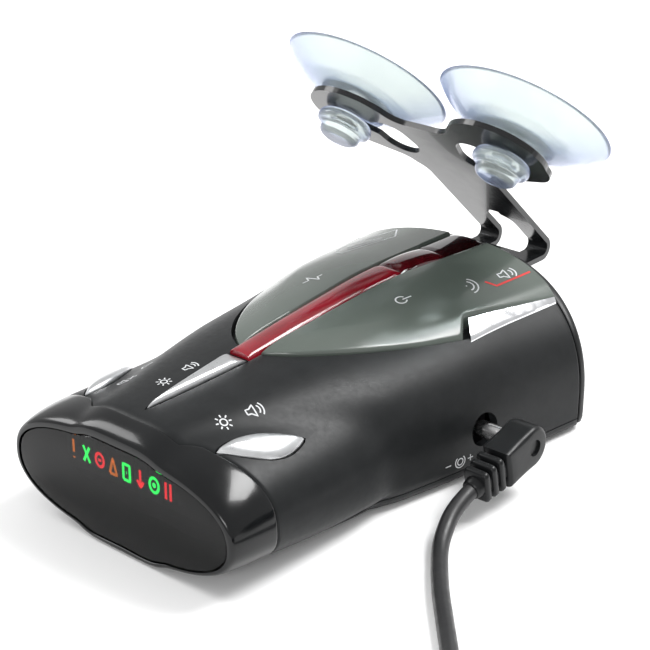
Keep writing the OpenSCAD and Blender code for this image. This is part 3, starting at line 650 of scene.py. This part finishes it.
def select_outline(grow):
    """The middle key's outline, a long blade with its tip to the front."""
    length = SEL_END - 0.35 - SEL_TIP
    fs = np.concatenate([[0.01, 0.03], np.linspace(0.06, 1, 24)])
    right = [(2.35 * f ** 0.75 + grow, SEL_TIP + length * f + (grow * 0.5 if f == 1 else 0)) for f in fs]
    return [(0, SEL_TIP - grow * 2)] + right + [(-x, y) for x, y in right[::-1]]


TIP_A, TIP_B = np.array([17.2, 8.4]), np.array([22.6, 25.3])


def side_outline(side, grow, n=36):
    """A side key's almond, fuller on its outer side."""
    d = TIP_B - TIP_A
    length = np.linalg.norm(d)
    u = d / length
    v = np.array([u[1], -u[0]])
    out = []
    for face in (1, -1):
        for i in range(n):
            f = i / n if face > 0 else 1 - i / n
            full, skew = (3.1, 1.15) if face > 0 else (2.1, 0.8)
            across = full * abs(math.sin(math.pi * f ** skew)) ** 0.9
            swell = grow * min(1, 4 * f * (1 - f) + 0.3)
            p = TIP_A + u * (length * f + grow * (f - 0.5) * 2) + v * face * (across + swell)
            out.append((side * p[0], p[1]))
    return out


def hole(outline):
    """A tool that cuts a key's opening."""
    return prism([(x, y + FRONT) for x, y in outline], 17, 33)


OUTLINES = {"select": select_outline, "left": lambda g: side_outline(-1, g),
            "right": lambda g: side_outline(1, g)}
for key, shape in OUTLINES.items():
    cut(upper, hole(shape(0.34 if key == "select" else 0.42)))
jack_cut = lathe("jack_cut", [(3.5, 0), (3.5, 30)], (22, JACK_Y, JACK_Z), (1, 0, 0), HOUSING, "detector",
                 sides=64)
cut(upper, jack_cut)

for key, shape in OUTLINES.items():
    o = np.array(shape(0.0))
    c = o.mean(0)
    loops = [[(x, y + FRONT, float(top_z(x, y)) - 2.6) for x, y in o]]
    for k, up in ((1.0, -0.05), (0.985, 0.12), (0.95, 0.42), (0.88, 0.72), (0.76, 1.0), (0.6, 1.18),
                  (0.42, 1.28), (0.22, 1.33), (0.04, 1.34)):
        q = c + (o - c) * k
        loops.append([(x, y + FRONT, float(top_z(x, y)) + up) for x, y in q])
    rings(key + "_key_cap", loops, BUTTON, key + "_key", key + "_button", "button", angle=50)

# ---------------------------------------------------------------- lower housing
tray = [s for s in rows if s < SEL_END - 0.1 or s > SEL_END + 0.1][::2] + [SHELL_END]
kx = np.array([1, 0.9985, 0.995, 0.99, 0.98, 0.965, 0.94, 0.9, 0.82, 0.7, 0.5, 0.25, 0.0])


def tray_row(s, inner):
    xs = float(split_x(s)) - (0 if inner else edge_round(s))
    z = np.minimum(SPLIT - 0.1, base_z(kx * xs, s))
    z[0] = SPLIT
    x = kx * xs
    if inner:
        z = np.minimum(SPLIT - 0.4 * (1 - kx), z + WALL)
        z[0] = SPLIT
        x = kx * (xs - WALL)
    return np.concatenate([place(-x, s, z), place(x[::-1][1:], s, z[::-1][1:])])


lower = slab("lower_shell", [tray_row(s, False) for s in tray], [tray_row(s, True) for s in tray],
             HOUSING, "detector", "lower_housing", "housing", angle=40)
for k in range(-3, 4):
    slot = [(k * 3 + 0.6 * math.cos(a), FRONT + 47 + side * 6.4 + 0.6 * math.sin(a))
            for side, lo in ((-1, math.pi), (1, 0))
            for a in np.linspace(lo, lo + math.pi, 9)]
    cut(lower, prism(slot, -1, 4))
for x, y in ((17, FRONT + 30), (-17, FRONT + 30), (28.5, FRONT + 84), (-28.5, FRONT + 84)):
    for r, sides, z0, z1 in ((2.6, 40, -1, 1.0), (1.4, 32, 0, 4)):
        around = np.linspace(0, 2 * math.pi, sides, endpoint=False)
        cut(lower, prism([(x + r * math.cos(a), y + r * math.sin(a)) for a in around], z0, z1))

# ---------------------------------------------------------------- rear cover, bezel and window
ang = np.linspace(0, 2 * math.pi, 192, endpoint=False)


def cover_ring(s, k):
    x, z = section(s, ang)
    mid = float(station(s)["mid"]) + 3
    z = np.maximum(0, z)
    return place(x * k, s, mid + (z - mid) * k)


COVER = [(SHELL_END + 0.1, 0.35), (SHELL_END + 0.1, 0.985), (SHELL_END + 0.2, 0.996),
         (SHELL_END + 0.45, 1), (LEN - 1.2, 1), (LEN - 0.8, 0.997), (LEN - 0.45, 0.990), (LEN - 0.2, 0.980),
         (LEN - 0.05, 0.967), (LEN, 0.95), (LEN, 0.915), (LEN - 0.25, 0.905), (LEN - 0.25, 0.895),
         (LEN, 0.885), (LEN, 0.35), (LEN, 0.1)]
cover = rings("rear_panel", [cover_ring(s, k) for s, k in COVER], REAR, "detector", "rear_cover",
              "rear_panel", angle=25)
# The slot that the bracket's tongue goes through
TONGUE_Z = 24.0
y0, y1, hw, zc = FRONT + LEN + BOWR - 8, FRONT + LEN + BOWR + 4, 9.5, TONGUE_Z + 0.6
cut(cover, scratch([(sx * hw * MM, y * MM, (zc + dz) * MM) for y in (y0, y1)
                    for sx, dz in ((-1, -0.9), (1, -0.9), (1, 0.9), (-1, 0.9))],
                   [(0, 1, 2, 3), (4, 5, 6, 7), (0, 1, 5, 4), (1, 2, 6, 5), (2, 3, 7, 6), (3, 0, 4, 7)]))

LIP = 1.1
path = [(11, 2.5), (11, 0.35), (10.9, 0.14), (10.7, 0.03), (10.4, 0), (9.6, 0), (8.5, 0), (7.4, 0),
        (6.2, 0), (5, 0), (4, 0), (3, 0), (2.2, 0), (1.6, 0), (1.1, 0), (0.7, 0), (0.4, 0.04),
        (0.18, 0.14), (0.05, 0.3), (0, 0.5), (0, 0.85), (0.06, 0.98), (0.2, 1.08), (1.8, LIP), (1.8, 2.5)]


def bezel_ring(s, inset):
    x, z = section(s, ang, inset)
    t = s * seam_s(x, np.sin(ang) > 0.1) / SEAM_DEEP
    x, z = section(t, ang, inset)
    return place(x, t, np.maximum(0, z))


rings("bezel_shell", [bezel_ring(s, i) for s, i in path], BEZEL, "detector", "front_bezel", "bezel",
      closed=True, angle=40)


def window_ring(inset, y):
    x, z = section(0.0, ang, inset)
    return place(x, y, z)


PANE = [(8, 1.75), (LIP + 0.1, 1.75), (LIP + 0.08, 0.45), (LIP + 0.12, 0.28), (LIP + 0.24, 0.18),
        (LIP + 0.5, 0.15), (8, 0.15)]
rings("window_pane", [window_ring(inset, y) for inset, y in PANE], WINDOW, "detector", "display_window",
      "window", angle=30)

# ---------------------------------------------------------------- lens, strip and trims
def band(s):
    """Width of the lens's rounded border."""
    return look(s, [(LENS0, 9.0), (50, 8.6), (60, 6.6), (SHOULDER, 4.6), (LEN, 4.2)])


def lens_out(s):
    """Outer edge of the lens: the recess less a groove, wide at the nose and cut back before the trim."""
    edge = float(lens_w(s)) - look(s, [(LENS0, 0.2), (37, 1.0), (43, 1.15), (52, 0.7), (62, 0.25),
                                       (70, 0.18)])
    cut_back = look(s, [(69.4, 40), (69.5, 24.4), (73.2, 21.2), (74.2, 21.3), (LEN, 27.3)])
    return min(edge, cut_back)


def lens_rise(d, s):
    """How far a lens stands above the housing, d inside its edge."""
    return 0.28 + 0.95 * (1 - np.maximum(0, 1 - d / band(s)) ** 1.5)


def lens_rows(side, under):
    out = []
    for s in np.concatenate([LENS0 + 0.62 + np.array([0, 0.2, 0.45, 0.8, 1.3, 1.9, 2.6]),
                             np.arange(38.6, 69.2, 0.75), [69.45, 69.55], np.arange(70, 95.2, 0.75),
                             [SHELL_END]]):
        a = float(strip_w(s)) + 0.16
        edge = float(lens_w(s))
        b = max(lens_out(s), a + 0.05)
        f = np.concatenate([[0, 0.015], np.linspace(0.04, 0.96, 40), [0.985, 1]])
        x = a + (b - a) * f
        d = np.maximum(0, edge - x)
        rise = lens_rise(d, s)
        soft_edge = 0.35 * (np.clip(1 - (b - x) / 0.35, 0, 1) ** 2 + np.clip(1 - (x - a) / 0.3, 0, 1) ** 2)
        z = top_z(x, s) + (0.06 - RECESS if under else rise - soft_edge)
        out.append(place(side * x, s, z))
    return out


for side, word in ((-1, "left"), (1, "right")):
    slab(word + "_lens", lens_rows(side, False), lens_rows(side, True), LENS, "detector",
         word + "_top_lens", "lens", angle=50)
    rr = np.concatenate([[SHOULDER + 1.05, SHOULDER + 1.2], np.linspace(SHOULDER + 1.6, 95.2, 34)])

    def trim_row(s, under):
        a, b = trim_in(s) + 0.02, float(lens_w(s)) - 0.06
        b = max(b, a + 0.02)
        lean = 3.4 * max(0, 1 - (s - SHOULDER) / 9)
        f = np.array([0, 0.08, 0.2, 0.35, 0.5, 0.65, 0.8, 0.92, 1])
        x = a + (b - a) * f
        up = 0.95 - 0.50 * f - 0.3 * (f < 0.01) - 0.35 * (f > 0.99)
        t = s - lean * f
        return place(side * x, t, top_z(x, t) + (0.1 - RECESS if under else up))

    slab(word + "_trim_blade", [trim_row(s, False) for s in rr], [trim_row(s, True) for s in rr], CHROME,
         "detector", word + "_trim", "trim")


def strip(name, s0, s1, swell, mat, node, slot, drop=0.0):
    """One length of the ridge."""
    ss = np.linspace(s0, s1, max(8, int((s1 - s0) / 0.6)))
    f = np.sin(np.linspace(-math.pi / 2, math.pi / 2, 25))
    top, under = [], []
    for s in ss:
        w = float(strip_w(s))
        x = w * f
        t = (s - s0) / (s1 - s0)
        end = min(1, (s - s0) / 0.8, (s1 - s) / 0.8)
        end = 1 - (1 - end) ** 2
        crown = look(s, [(32, 0.75), (46, 1.15)]) + swell * math.sin(math.pi * t)
        arch = np.sqrt(np.maximum(0, 1 - (x / (w + 0.05)) ** 2))
        up = 0.5 + crown * arch * (0.72 + 0.28 * end) - drop
        top.append(place(x, s, top_z(x, s) + up))
        under.append(place(x, s, top_z(x, s) + 0.06 - RECESS))
    return slab(name, top, under, mat, "detector", node, slot, angle=60)


strip("strip_front", SEL_END + 0.12, 74.55, 0.0, RED, "light_strip", "red_lens")
strip("strip_eye", 74.65, 85.95, 0.6, DEEP_RED, "laser_eye", "dark_red_lens", 0.1)
strip("strip_rear", 86.05, SHELL_END, 0.0, DARK_RED, "strip_tail", "dark_red_lens", 0.15)


# ---------------------------------------------------------------- printed marks, as thin ribbons
SKIN = BVHTree.FromPolygons([upper.matrix_world @ v.co for v in upper.data.vertices],
                            [tuple(p.vertices) for p in upper.data.polygons])
ABOVE = 60.0


def on_top(x, s, lift):
    """The point above (x, s) on the housing as it was really made."""
    p = place(x, s, ABOVE)
    hit = SKIN.ray_cast(Vector(p) * MM, Vector((0, 0, -1)))[0]
    return np.array([p[0], p[1], hit[2] / MM + lift])


def ribbon(name, strokes, width, mat, slot, lift=0.04, mapper=on_top):
    """Strokes are lists of (x, s) points in mm; each becomes a flat ribbon on the surface."""
    v, f = [], []
    for line in strokes:
        p = np.array(line, float)
        fine = [p[0]]
        for a, b in zip(p, p[1:]):
            n = max(1, int(np.linalg.norm(b - a) / 0.35))
            fine += [a + (b - a) * k / n for k in range(1, n + 1)]
        p = np.array(fine)
        d = np.gradient(p, axis=0)
        d /= np.maximum(1e-9, np.linalg.norm(d, axis=1))[:, None]
        nrm = np.stack([-d[:, 1], d[:, 0]], 1) * width / 2
        base = len(v)
        for q, m in zip(p, nrm):
            for h in (1, -1):
                v.append(mapper(q[0] + h * m[0], q[1] + h * m[1], lift))
        f += [(base + 2 * i, base + 2 * i + 1, base + 2 * i + 3, base + 2 * i + 2)
              for i in range(len(p) - 1)]
    return piece(name, v, f, mat, "detector", (), slot, angle=None, fix=False)


def circle(cx, cy, r, a0=0, a1=360, n=28):
    """An arc as a stroke, in degrees."""
    turns = [math.radians(a0 + (a1 - a0) * k / n) for k in range(n + 1)]
    return [(cx + r * math.cos(a), cy + r * math.sin(a)) for a in turns]


def turned(strokes, at, deg, k=1.0):
    """Strokes turned by an angle, scaled and moved."""
    c, s = math.cos(math.radians(deg)), math.sin(math.radians(deg))
    return [[(at[0] + k * (x * c - y * s), at[1] + k * (x * s + y * c)) for x, y in line]
            for line in strokes]


SOUND = [[(-1.6, -0.5), (-0.8, -0.5), (0.1, -1.2), (0.1, 1.2), (-0.8, 0.5), (-1.6, 0.5), (-1.6, -0.5)],
         circle(0.2, 0, 1.0, -50, 50, 8), circle(0.2, 0, 1.7, -45, 45, 10)]
SUN = [circle(0, 0, 0.7)]
for a in np.linspace(0, 2 * math.pi, 9)[:-1]:
    SUN.append([(r * math.cos(a), r * math.sin(a)) for r in (1.1, 1.7)])
TRIANGLE = [[(-1.3, -0.9), (1.3, -0.9), (0, 1.2), (-1.3, -0.9)]]
MUTE = SOUND[:1] + [[(0.7, -0.8), (2.2, 0.8)], [(0.7, 0.8), (2.2, -0.8)]]
marks = turned(SUN, (12.6, 15.0), 75, 0.95) + turned(SOUND, (13.9, 21.5), 75, 1.0)
marks += turned(SUN, (-4.7, 17.0), 85, 0.9) + turned(SOUND, (-5.0, 24.0), 85, 0.9)
marks += turned(MUTE, (-14.0, 15.8), 75, 0.95) + turned(TRIANGLE, (-16.2, 23.0), 75, 0.95)
ribbon("housing_marks", marks, 0.28, INK, "trim", 0.05)


def on_lens(x, s, lift):
    """The point above (x, s) on a lens."""
    d = np.maximum(0, lens_w(s) - np.abs(x))
    return place(x, s, top_z(np.asarray(x), s) + lens_rise(d, s) + lift)


lens_marks = turned([[(-1.7, 0), (-0.6, 0), (-0.1, 1.3), (0.5, -1.2), (1.0, 0), (1.9, 0)]], (-9.8, 63.5),
                    80, 1.3)
lens_marks += turned([circle(0, 0, 1.1, 30, 330), [(0.3, 0), (2.4, 0)]], (11.0, 66.5), 80, 1.0)
lens_marks += [[(-19.6, 81.5), (-20.2, 84.0), (-16.6, 94.0), (-12.9, 89.5), (-15.3, 77.6), (-18.2, 78.6),
                (-19.6, 81.5)]]
lens_marks += [[(-17.9, 81.6), (-15.3, 88.6)], [(-17.2, 81.0), (-14.7, 88.0)],
               [(-16.4, 80.4), (-14.1, 87.4)]]
lens_marks += turned([circle(0, 0, 2.4, -70, 70, 16), circle(0, 0, 1.5, -70, 70, 12),
                      [(-0.1, -0.1), (0.1, 0.1)]], (15.6, 80.0), 65)
lens_marks += turned(SOUND, (17.0, 89.8), 80, 1.15)
ribbon("lens_marks", lens_marks, 0.30, INK, "trim", 0.03, on_lens)
ribbon("lens_stripe", [[(16.6, 84.2), (18.8, 85.4), (19.2, 94.6)]], 0.5, RED_INK, "red_lens", 0.03, on_lens)


def on_side(a, s, lift):
    """Side surface, with a as height in mm above the base."""
    a = np.asarray(a, float)
    st = station(s)
    t = math.atan2(float(a) - float(st["mid"]), 30.0)
    for _ in range(6):
        x, z = section(s, np.array(t), -lift)
        t += (float(a) - float(z)) / 30.0
    return place(float(x), s, float(z))


jack_marks = [circle(3.0, 61.0, 0.7), circle(3.0, 61.0, 1.25, 40, 320)]
jack_marks += [[(3.0, 58.6), (3.0, 57.2)], [(3.0, 63.0), (3.0, 64.4)], [(2.3, 63.7), (3.7, 63.7)]]
ribbon("inlet_marks", [[(z + 2.3, s) for z, s in line] for line in jack_marks], 0.22, INK, "trim", 0.03,
       on_side)

# ---------------------------------------------------------------- lit symbols behind the window
ORANGE, GREEN, CRIMSON = (1.0, 0.22, 0.01), (0.02, 1.0, 0.12), (1.0, 0.02, 0.03)
SIGNS = [
    (ORANGE, [[(0, 1.3), (0, 3.8)], [(0, 0.15), (0, 0.45)]]),
    (GREEN, [[(-1.0, 0.5), (1.0, 3.5)], [(-1.0, 3.5), (1.0, 0.5)]]),
    (CRIMSON, [circle(0, 2, 1.25), [(-0.5, 2), (0.5, 2)]]),
    (ORANGE, [[(-1.1, 0.5), (0, 3.5), (1.1, 0.5), (-1.1, 0.5)]]),
    (GREEN, [[(-1.0, 0.5), (-1.0, 3.5), (1.0, 3.5), (1.0, 0.5), (-1.0, 0.5)], [(-0.1, 2), (0.1, 2)]]),
    (CRIMSON, [[(0, 3.7), (0, 0.5)], [(-1.0, 1.6), (0, 0.4), (1.0, 1.6)]]),
    (GREEN, [circle(0, 2, 1.35), circle(0, 2, 0.2)]),
    (CRIMSON, [[(-0.7, 0.4), (-0.7, 3.6)], [(0.7, 0.4), (0.7, 3.6)]])]
GLOWS = {ORANGE: glow("glow_orange", ORANGE, 11), GREEN: glow("glow_green", GREEN, 24),
         CRIMSON: glow("glow_red", CRIMSON, 20)}
SIGN_PITCH, SIGN_LOW, SIGN_DEPTH = 3.55, 14.75, 2.05


def behind_window(x, z, lift):
    """A point of a lit symbol, on the plane behind the display window."""
    return np.array([x, FRONT + SIGN_DEPTH - lift, z])


for i, (tone, lines) in enumerate(SIGNS):
    cx = (i - 3.5) * SIGN_PITCH - 0.5
    strokes = [[(cx + x * 0.84, SIGN_LOW + z * 1.05) for x, z in line] for line in lines]
    ribbon("sign_%d" % (i + 1), strokes, 0.62, GLOWS[tone], "leds", 0.0, behind_window)

# ---------------------------------------------------------------- suction cups
CUP_X, CUP_V, LEAN = 20.3, 46.5, math.radians(42.6)
PLATE_N = np.array([0, math.sin(LEAN), math.cos(LEAN)])
PLATE_UP = np.array([0, -math.cos(LEAN), math.sin(LEAN)])
PLATE_AT = np.array([0, 70.8, 28.0])
CUP = rounded([(0, -6.4), (3.4, -6.4), (4.5, -5.6), (4.6, -4.2), (5.9, -3.6), (6.2, -2.6), (5.7, -1.4),
               (4.6, -0.9), (2.4, -0.9), (2.4, 0.9), (7.2, 0.9), (7.6, 1.7), (9, 2.3), (12.4, 3.9),
               (15.8, 6), (18.6, 8.2), (18.6, 8.5), (17.7, 8.5), (15.2, 6.7), (11.6, 4.9), (8, 3.8),
               (0, 3.4)], 0.9, 6)
for side, word in ((-1, "left"), (1, "right")):
    at = PLATE_AT + np.array([side * CUP_X, 0, 0]) + PLATE_UP * CUP_V
    lathe(word + "_cup_moulding", CUP, at, PLATE_N, VINYL, word + "_suction_cup", word + "_cup", "cup",
          sides=144, angle=60)

# ---------------------------------------------------------------- angled plug
def plug_point(x, t, h):
    """Point on the plug: along the barrel's axis, along the tail, and across it."""
    return np.array([PLUG_X + x, JACK_Y, JACK_Z]) + TAIL_DIR * t + PLUG_UP * h


def plug_outline():
    """The plug's head seen along its barrel: round in front, straight to its tail."""
    r = 4.3
    arc = [(-r * math.sin(a), r * math.cos(a)) for a in np.linspace(0, math.pi, 28)]
    return arc + [(8.5, -4.0), (8.5, 4.0)]


def fine(outline, step=0.5):
    """The same outline with points at most a step apart."""
    out = []
    n = len(outline)
    for i in range(n):
        a, b = np.array(outline[i]), np.array(outline[(i + 1) % n])
        k = max(1, int(np.linalg.norm(b - a) / step))
        out += [tuple(a + (b - a) * j / k) for j in range(k)]
    return out


prof = [(0.0, -1.0), (0.05, -0.7), (0.25, -0.35), (0.6, -0.1), (1.0, 0.0), (5.4, 0.0), (5.8, -0.1),
        (6.15, -0.35), (6.35, -0.7), (6.4, -1.0)]
base = np.array(fine(plug_outline()))
mid = np.mean(base, 0)
out = base - mid
out /= np.linalg.norm(out, axis=1)[:, None]
loops = [[plug_point(x, t, h) for t, h in base + out * g] for x, g in prof]
loops.append([plug_point(6.4, *(mid + (p - mid) * 0.55)) for p in base])
shell = rings("plug_moulded_shell", loops, PLUG, "power_lead", "plug_shell", "plug", angle=50)
dim = lathe("dimple", [(1.7, 0), (1.7, 3)], PLUG_C + np.array([2.65, 0, 0]), (1, 0, 0), PLUG,
            "power_lead", sides=48)
cut(shell, dim)


def box_loop(x0, x1, h, t, r=0.9, n=6):
    """A rounded rectangle across the plug's tail, from x0 to x1 and 2 h high."""
    pts = []
    for cx, ch, a0 in ((x1 - r, h - r, 0), (x0 + r, h - r, 90), (x0 + r, -h + r, 180),
                       (x1 - r, -h + r, 270)):
        for k in range(n + 1):
            a = math.radians(a0 + 90 * k / n)
            pts.append(plug_point(cx + r * math.cos(a), t, ch + r * math.sin(a)))
    return pts


def neck_loop(half, t, r):
    """A square loop between the boot's ribs."""
    return box_loop(PLUG_HALF - half, PLUG_HALF + half, half, t, r)


boot = []
for k in range(3):
    t0, hx, hh = 9.4 + 2.2 * k, 2.9 - 0.1 * k, 3.7 - 0.2 * k
    for dt, shrink in ((0, 0.35), (0.12, 0.1), (0.3, 0), (1.1, 0), (1.28, 0.1), (1.4, 0.35)):
        boot.append(box_loop(PLUG_HALF - hx + shrink, PLUG_HALF + hx - shrink, hh - shrink, t0 + dt))
    if k < 2:
        boot += [neck_loop(2.3, t0 + 1.45, 1.6), neck_loop(2.3, t0 + 2.15, 1.6)]
boot = [neck_loop(2.4, 8.3, 1.6), neck_loop(2.4, 9.35, 1.6)] + boot
boot += [neck_loop(2.2, 15.25, 2.1), neck_loop(2.0, 16.6, 1.95), neck_loop(1.7, 16.9, 1.65)]
rings("plug_ribbed_boot", boot, PLUG, "power_lead", "plug_boot", "plug", angle=40)

# ---------------------------------------------------------------- the coil's tie and the adapter
TIE_AT, TIE_TURN, TIE_MID = np.array([*COIL, 0]), math.radians(118), (TOP + CORD / 2 + LIFT) / 2
TIE_OUT = np.array([math.cos(TIE_TURN), math.sin(TIE_TURN), 0])
TIE_ALONG = np.array([-math.sin(TIE_TURN), math.cos(TIE_TURN), 0])
COIL_R = 19


def tie_loop(w, grow):
    """A rounded rectangle round the turns, w along them from the tie's middle."""
    pts = []
    hx, hh, r = 4.9 + grow, TIE_MID - LIFT + 0.1 + grow, 1.6 + grow
    for sx, sz, a0 in ((1, 1, 0), (-1, 1, 90), (-1, -1, 180), (1, -1, 270)):
        for k in range(7):
            a = math.radians(a0 + 15 * k)
            across = COIL_R + sx * (hx - r) + r * math.cos(a)
            up = TIE_MID + sz * (hh - r) + r * math.sin(a)
            pts.append(TIE_AT + TIE_OUT * across + TIE_ALONG * w + np.array([0, 0, up]))
    return np.array(pts)


def floor_clear(p):
    """Lifts what would lie in the floor just above it."""
    p[:, 2] = np.maximum(p[:, 2], 0.02)
    return p


BAND = [(-1.5, 0.15), (-1.4, 0.5), (-1.2, 0.6), (0, 0.62), (1.2, 0.6), (1.4, 0.5), (1.5, 0.15), (1.2, 0.05),
        (-1.2, 0.05)]
rings("cord_tie_band", [floor_clear(tie_loop(w, g)) for w, g in BAND],
      BLACK, "power_lead", "cord_tie", "switch", closed=True, angle=50)

AD_TURN = math.radians(119.8)
AD_AT, AD_DIR = (118.5, -14, 12), (math.cos(AD_TURN), math.sin(AD_TURN), 0)
BACK = 66
grips = [(7.0, 8.0)]
handle = [(8, 7.2), (9.4, 8.6), (24, 11.6), (34, 12.0), (40, 11.4), (42, 10.6)]
for h in np.arange(8.6, 41.8, 0.4):
    r = float(np.interp(h, [p[0] for p in handle], [p[1] for p in handle]))
    grips.append((r - (0.45 if 15 < h < 33 and (h % 2.4) < 0.85 else 0.0), h))
barrel = rounded([(10.6, 42), (10.4, 42.6), (10.4, BACK), (3.3, BACK)], 0.5)
body_prof = [(0.0, 8.0)] + grips + barrel[1:] + [(0.0, BACK)]
lathe("adapter_shell", body_prof, AD_AT, AD_DIR, ADAPTER, "power_lead", "adapter_body", "adapter", angle=28)
cap_prof = rounded([(3.3, 66.05), (10.2, 66.05), (10.2, 69.45), (8.2, 72.65), (3.3, 72.65)], 0.5)
lathe("adapter_cap", cap_prof, AD_AT, AD_DIR, ADAPTER, "power_lead", "adapter_nose", "adapter",
      closed=True, angle=28)
pin_prof = rounded([(0, 63.4), (4.2, 63.4), (4.2, 65.4), (3, 65.4), (3, 74.4), (2, 76), (0, 76.6)], 0.5)
lathe("adapter_pin", pin_prof, AD_AT, AD_DIR, BRASS, "adapter_contact", "adapter_tip", "brass_tip",
      sides=64)


def spring_loop(t, r=3.05, wire=0.24, z0=59.66, z1=63.02, turns=2.0):
    """One ring of the coil spring behind the tip: t runs from its fixed end to its moving end."""
    a = 2 * math.pi * turns * t
    centre = np.array([r * math.cos(a), r * math.sin(a), z0 + (z1 - z0) * t])
    out = np.array([math.cos(a), math.sin(a), 0])
    return [centre + wire * (out * math.cos(b) + np.array([0, 0, 1]) * math.sin(b))
            for b in np.linspace(0, 2 * math.pi, 11)[:-1]]


turn = turn_matrix(AD_AT, AD_DIR)
spring_at = [[[c / MM for c in turn @ Vector(p * MM)] for p in spring_loop(t)]
             for t in np.linspace(0, 1, 97)]
spring = rings("adapter_coil_spring", spring_at, STEEL, None, "adapter_spring", angle=60)
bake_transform(spring)
relief = [(0.0, 0.0), (2.4, 0.0)]
for h in np.arange(0.3, 7.6, 0.3):
    relief.append((2.6 + 1.2 * h / 7.9 - (0.35 if int(h / 0.9) % 2 else 0), h))
relief += [(3.9, 7.9), (0, 7.9)]
lathe("adapter_relief", relief, AD_AT, AD_DIR, PLUG, "power_lead", "adapter_grommet", "plug", sides=64)

# ---------------------------------------------------------------- CAD nodes that keep their shape
PLAIN = {
        "led_shield": BLACK, "display_board": BOARD, "tact_switches": BLACK, "main_board": BOARD,
        "horn_antenna": CAST, "laser_receiver": BLACK,
        "strip_leds": RED, "speaker": BLACK, "dc_jack": BLACK, "jack_pin": NICKEL,
        "bracket_sleeve": BLACK, "housing_screws": STEEL, "bracket": PAINT,
        "plug_barrel": NICKEL, "plug_insulator": BLACK, "adapter_contacts": NICKEL, "adapter_fuse": FUSE,
        "indicator_leds": BLACK}
for name, mat in PLAIN.items():
    cad_material(name, mat)

# ---------------------------------------------------------------- floor and light
_m = Mat("studio_floor", (0.93, 0.93, 0.93), 0.75)
_m.vary_color(6, (0.92, 0.92, 0.92), (0.94, 0.94, 0.94)).bump(900, 0.02, 0.0001)
me = bpy.data.meshes.new("studio_floor")
me.from_pydata([(-4, -4, 0), (4, -4, 0), (4, 4, 0), (-4, 4, 0)], [], [(0, 1, 2, 3)])
floor = bpy.data.objects.new("studio_floor", me)
me.materials.append(_m.mat)
scene.collection.objects.link(floor)

world = bpy.data.worlds.new("studio")
scene.world = world
world.use_nodes = True
bg = world.node_tree.nodes["Background"]
bg.inputs["Color"].default_value = (1, 1, 1, 1)
bg.inputs["Strength"].default_value = 0.7


def softbox(name, at, to, size, power):
    """A rectangular lamp, aimed at a point."""
    lamp = bpy.data.lights.new(name, "AREA")
    lamp.shape = "RECTANGLE"
    lamp.size, lamp.size_y = size
    lamp.energy = power
    o = bpy.data.objects.new(name, lamp)
    o.location = at
    o.rotation_euler = (Vector(to) - Vector(at)).to_track_quat("-Z", "Y").to_euler()
    scene.collection.objects.link(o)


softbox("key", (0.30, 0.50, 0.80), (0, 0, 0.02), (0.5, 0.35), 11)
softbox("left", (-0.7, -0.25, 0.55), (0, 0, 0.02), (0.35, 0.5), 4)
softbox("front", (0.45, -0.8, 0.45), (0, 0, 0.02), (0.45, 0.2), 3)
scene.view_settings.view_transform = "Standard"
